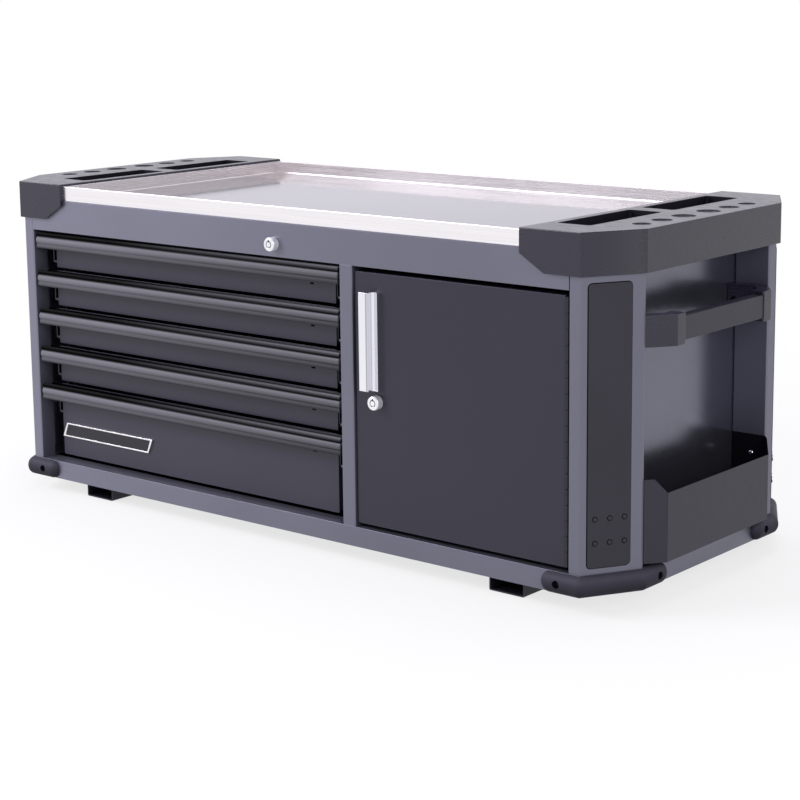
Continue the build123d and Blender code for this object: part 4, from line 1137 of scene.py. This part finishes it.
class CABINET_OT_door(CabinetOperator, Operator):
    """Cupboard door with its liner and handle."""

    bl_idname = "cabinet.door"
    bl_label = "Door"

    def execute(self, context):
        edges = context.scene.cabinet_edges
        soften("door_skin", "front_satin_paint", "front_dark", edges.panel, segments=3)
        soften("door_liner", "front_satin_paint", "front_dark", edges.sheet)
        soften("door_handle", "handle_bright_aluminium", "handle_aluminium", edges.lock)
        return {"FINISHED"}


class CABINET_OT_hinge(CabinetOperator, Operator):
    """Piano hinge of the door: two leaves with alternate knuckles and the pin."""

    bl_idname = "cabinet.hinge"
    bl_label = "Piano hinge"

    def execute(self, context):
        fixings = context.scene.cabinet_fixings
        tree = hinge_tree()
        pin_low, pin_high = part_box("hinge_pin")
        centre = (pin_low + pin_high) / 2
        pitch = (pin_high.z - pin_low.z) / fixings.knuckles
        radius = centre.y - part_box("hinge_frame_leaf")[0].y
        for own, node in ((0, "hinge_frame_leaf"), (1, "hinge_door_leaf")):
            low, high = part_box(node)
            way = -1 if own else 1
            outer = low.x if own else high.x
            knuckle = self.knuckle(radius, pitch - fixings.knuckle_gap, way, outer - centre.x)
            leaf = self.leaf(outer, way, centre.y, high.y, pin_low.z, pin_high.z)
            grown(node + "_knuckled", bpy.data.meshes.new("hinge_start"), tree,
                  {"Knuckle": knuckle, "Leaf": leaf, "Pitch": pitch,
                   "Count": len(range(own, fixings.knuckles, 2)),
                   "Start": Vector((centre.x, centre.y, pin_low.z + (own + 0.5) * pitch))},
                  "hinge_black", "black_steel", frame["nodes"][node]["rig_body"], [node])
            bpy.data.objects.remove(knuckle)
            bpy.data.objects.remove(leaf)
        dress("hinge_pin", "slide_zinc")
        return {"FINISHED"}

    def knuckle(self, radius, length, way, reach):
        """Rolled knuckle about Z with a softened mouth and its tangent root."""
        half, soft = length / 2, FINE_ROUNDING
        profile = [(HINGE_BORE, -half), (radius - soft, -half), (radius, -half + soft),
                   (radius, half - soft), (radius - soft, half), (HINGE_BORE, half)]
        shape = turned(profile, 28)
        bmesh.ops.bridge_loops(shape, edges=[e for e in shape.edges if e.is_boundary])
        inner = reach - way * HINGE_SHEET
        root = way * (HINGE_BORE + 0.0007)
        box_into(shape, (min(root, inner), 0.0, -half), (max(root, inner), 0.001, half))
        bmesh.ops.recalc_face_normals(shape, faces=shape.faces)
        return as_object("knuckle", shape)

    def leaf(self, outer, way, y0, y1, z0, z1):
        """Flat leaf between the door and the post."""
        inner = outer - way * HINGE_SHEET
        shape = bmesh.new()
        box_into(shape, (min(outer, inner), y0, z0), (max(outer, inner), y1, z1))
        return as_object("leaf", shape)


class CABINET_OT_locks(CabinetOperator, Operator):
    """Lock housings, plugs and the locking parts behind them."""

    bl_idname = "cabinet.locks"
    bl_label = "Locks"

    def execute(self, context):
        for node in ("door_lock_barrel", "top_lock_barrel", "door_lock_plug", "top_lock_plug"):
            low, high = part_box(node.replace("plug", "barrel"))

            def part(centre, normal, low=low, high=high):
                across = math.hypot(centre.x - (low.x + high.x) / 2, centre.z - (low.z + high.z) / 2)
                # Faces in the keyway groove take the dark seam material: painted shade in the groove.
                if (across < (high.x - low.x) * GROOVE_SHARE
                        and low.y + GROOVE_START < centre.y < low.y + GROOVE_END):
                    return 1
                return 0 if normal.y < -FACING else 2

            soften(node, ["lock_chrome", "seam_shadow", "lock_side_chrome"], "chrome",
                   context.scene.cabinet_edges.lock, part)
        dress("lock_rod", "slide_zinc")
        dress("lock_bar", "slide_zinc")
        dress("lock_bar_guides", "guide_nylon")
        return {"FINISHED"}


class CABINET_OT_cupboard(CabinetOperator, Operator):
    """Shelf and its clips."""

    bl_idname = "cabinet.cupboard"
    bl_label = "Cupboard"

    def execute(self, context):
        soften("cupboard_shelf", "casing_powder_coat", "body_grey", context.scene.cabinet_edges.sheet)
        dress("shelf_clips", "slide_zinc")
        return {"FINISHED"}


class CABINET_OT_stage(CabinetOperator, Operator):
    """Floor, soft studio light and the camera."""

    bl_idname = "cabinet.stage"
    bl_label = "Stage"

    def execute(self, context):
        stage = context.scene.cabinet_stage
        self.floor(stage)
        self.world(context, stage)
        for name, place, target, size, power in (
                ("key_lamp", (-2.6, -2.6, 2.4), (-0.6, 0, 0.3), 1.8, stage.key),
                ("fill_lamp", (3.3, -2.0, 1.9), (0.6, -0.1, 0.3), 1.6, stage.fill),
                ("top_lamp", (0.0, 0.8, 3.4), (0, 0, 0.5), 2.6, stage.fill * 1.2)):
            light = bpy.data.lights.new(name, "AREA")
            light.shape = "SQUARE"
            light.size = size
            light.energy = power
            light.color = stage.light_colour
            lamp = placed(name, light)
            lamp.location = place
            lamp.rotation_euler = (Vector(target) - Vector(place)).to_track_quat("-Z", "Y").to_euler()
        self.camera(context, stage)
        context.scene.view_settings.view_transform = "Standard"
        return {"FINISHED"}

    def floor(self, stage):
        """Large pale plane that fades to white for the camera."""
        shape = bmesh.new()
        bmesh.ops.create_grid(shape, x_segments=1, y_segments=1, size=15.0)
        plane = as_object("floor", shape)
        made = bpy.data.materials.new("floor_pale")
        net = Shading(made)
        away = net.put("ShaderNodeVectorMath", "Value",
                       {0: net.put("ShaderNodeTexCoord", "Object")}, operation="LENGTH")
        fade = net.ranged(away, 0.8, 2.2, 0.74, 1.0, interpolation_type="SMOOTHSTEP")
        share = net.math("MULTIPLY", net.seen("Is Glossy Ray", "Is Transmission Ray"), fade)
        matt = net.put("ShaderNodeBsdfDiffuse", 0, {"Color": (*stage.floor_colour, 1.0)})
        white = net.put("ShaderNodeEmission", 0, {"Strength": 1.0})
        net.close(net.layered(share, matt, white))
        plane.data.materials.append(made)

    def world(self, context, stage):
        """White backdrop for the eye, the studio's tint in reflections, softer as light."""
        world = bpy.data.worlds.new("studio")
        net = Shading(world)
        tint = (*stage.light_colour, 1.0)
        soft, bright, white = [
            net.put("ShaderNodeBackground", 0, {"Color": colour, "Strength": strength})
            for colour, strength in ((tint, stage.surround), (tint, 1.0), ((1.0,) * 4, 1.0))]
        lit = net.layered(net.put("ShaderNodeLightPath", "Is Glossy Ray"), soft, bright)
        net.close(net.layered(net.seen("Is Transmission Ray"), lit, white), "ShaderNodeOutputWorld")
        context.scene.world = world

    def camera(self, context, stage):
        """Camera at the place and angle of the photograph."""
        place = Vector((2.3392, -2.7611, 0.9978))
        yaw, pitch, roll = -0.69197, -0.17948, -0.01031
        ahead = Vector((math.sin(yaw) * math.cos(pitch), math.cos(yaw) * math.cos(pitch),
                        math.sin(pitch)))
        level = Vector((math.cos(yaw), -math.sin(yaw), 0))
        above = level.cross(ahead)
        right = level * math.cos(roll) + above * math.sin(roll)
        up = above * math.cos(roll) - level * math.sin(roll)
        view = bpy.data.cameras.new("camera")
        view.lens = stage.lens
        view.sensor_width = 36.0
        view.shift_x = -0.0054
        view.shift_y = -0.0894
        made = placed("camera", view)
        made.matrix_world = Matrix.Translation(place) @ Matrix((right, up, -ahead)).transposed().to_4x4()
        context.scene.camera = made


class CABINET_PT_sidebar(Panel):
    """Settings and steps of the tool cabinet."""

    bl_label = "Tool Cabinet"
    bl_idname = "CABINET_PT_sidebar"
    bl_space_type = "VIEW_3D"
    bl_region_type = "UI"
    bl_category = "Tool Cabinet"

    def draw(self, context):
        for title, key, _ in GROUPS:
            box = self.layout.box()
            box.label(text=title)
            group = getattr(context.scene, key)
            for item in group.bl_rna.properties:
                if item.identifier not in {"rna_type", "name"}:
                    box.prop(group, item.identifier)
        column = self.layout.column(align=True)
        for step in STEPS:
            column.operator(step.bl_idname)


GROUPS = (("Colours", "cabinet_colours", CabinetColours), ("Edges", "cabinet_edges", CabinetEdges),
          ("Fixings", "cabinet_fixings", CabinetFixings), ("Stage", "cabinet_stage", CabinetStage))
STEPS = (CABINET_OT_base, CABINET_OT_bumpers, CABINET_OT_casing, CABINET_OT_post_pads,
         CABINET_OT_tray, CABINET_OT_end_caps, CABINET_OT_side_handles, CABINET_OT_side_bin,
         CABINET_OT_side_screws, CABINET_OT_drawers, CABINET_OT_slides, CABINET_OT_door,
         CABINET_OT_hinge, CABINET_OT_locks, CABINET_OT_cupboard, CABINET_OT_stage)


def register():
    """Registers the settings, the steps and the panel."""
    for _, key, group in GROUPS:
        bpy.utils.register_class(group)
        setattr(bpy.types.Scene, key, PointerProperty(type=group))
    for item in STEPS + (CABINET_PT_sidebar,):
        bpy.utils.register_class(item)


def unregister():
    """Removes everything that register added."""
    for item in reversed(STEPS + (CABINET_PT_sidebar,)):
        bpy.utils.unregister_class(item)
    for _, key, group in GROUPS:
        delattr(bpy.types.Scene, key)
        bpy.utils.unregister_class(group)


def main():
    """Builds every piece."""
    register()
    for step in STEPS:
        group, name = step.bl_idname.split(".")
        getattr(getattr(bpy.ops, group), name)()


if __name__ == "__main__":
    main()
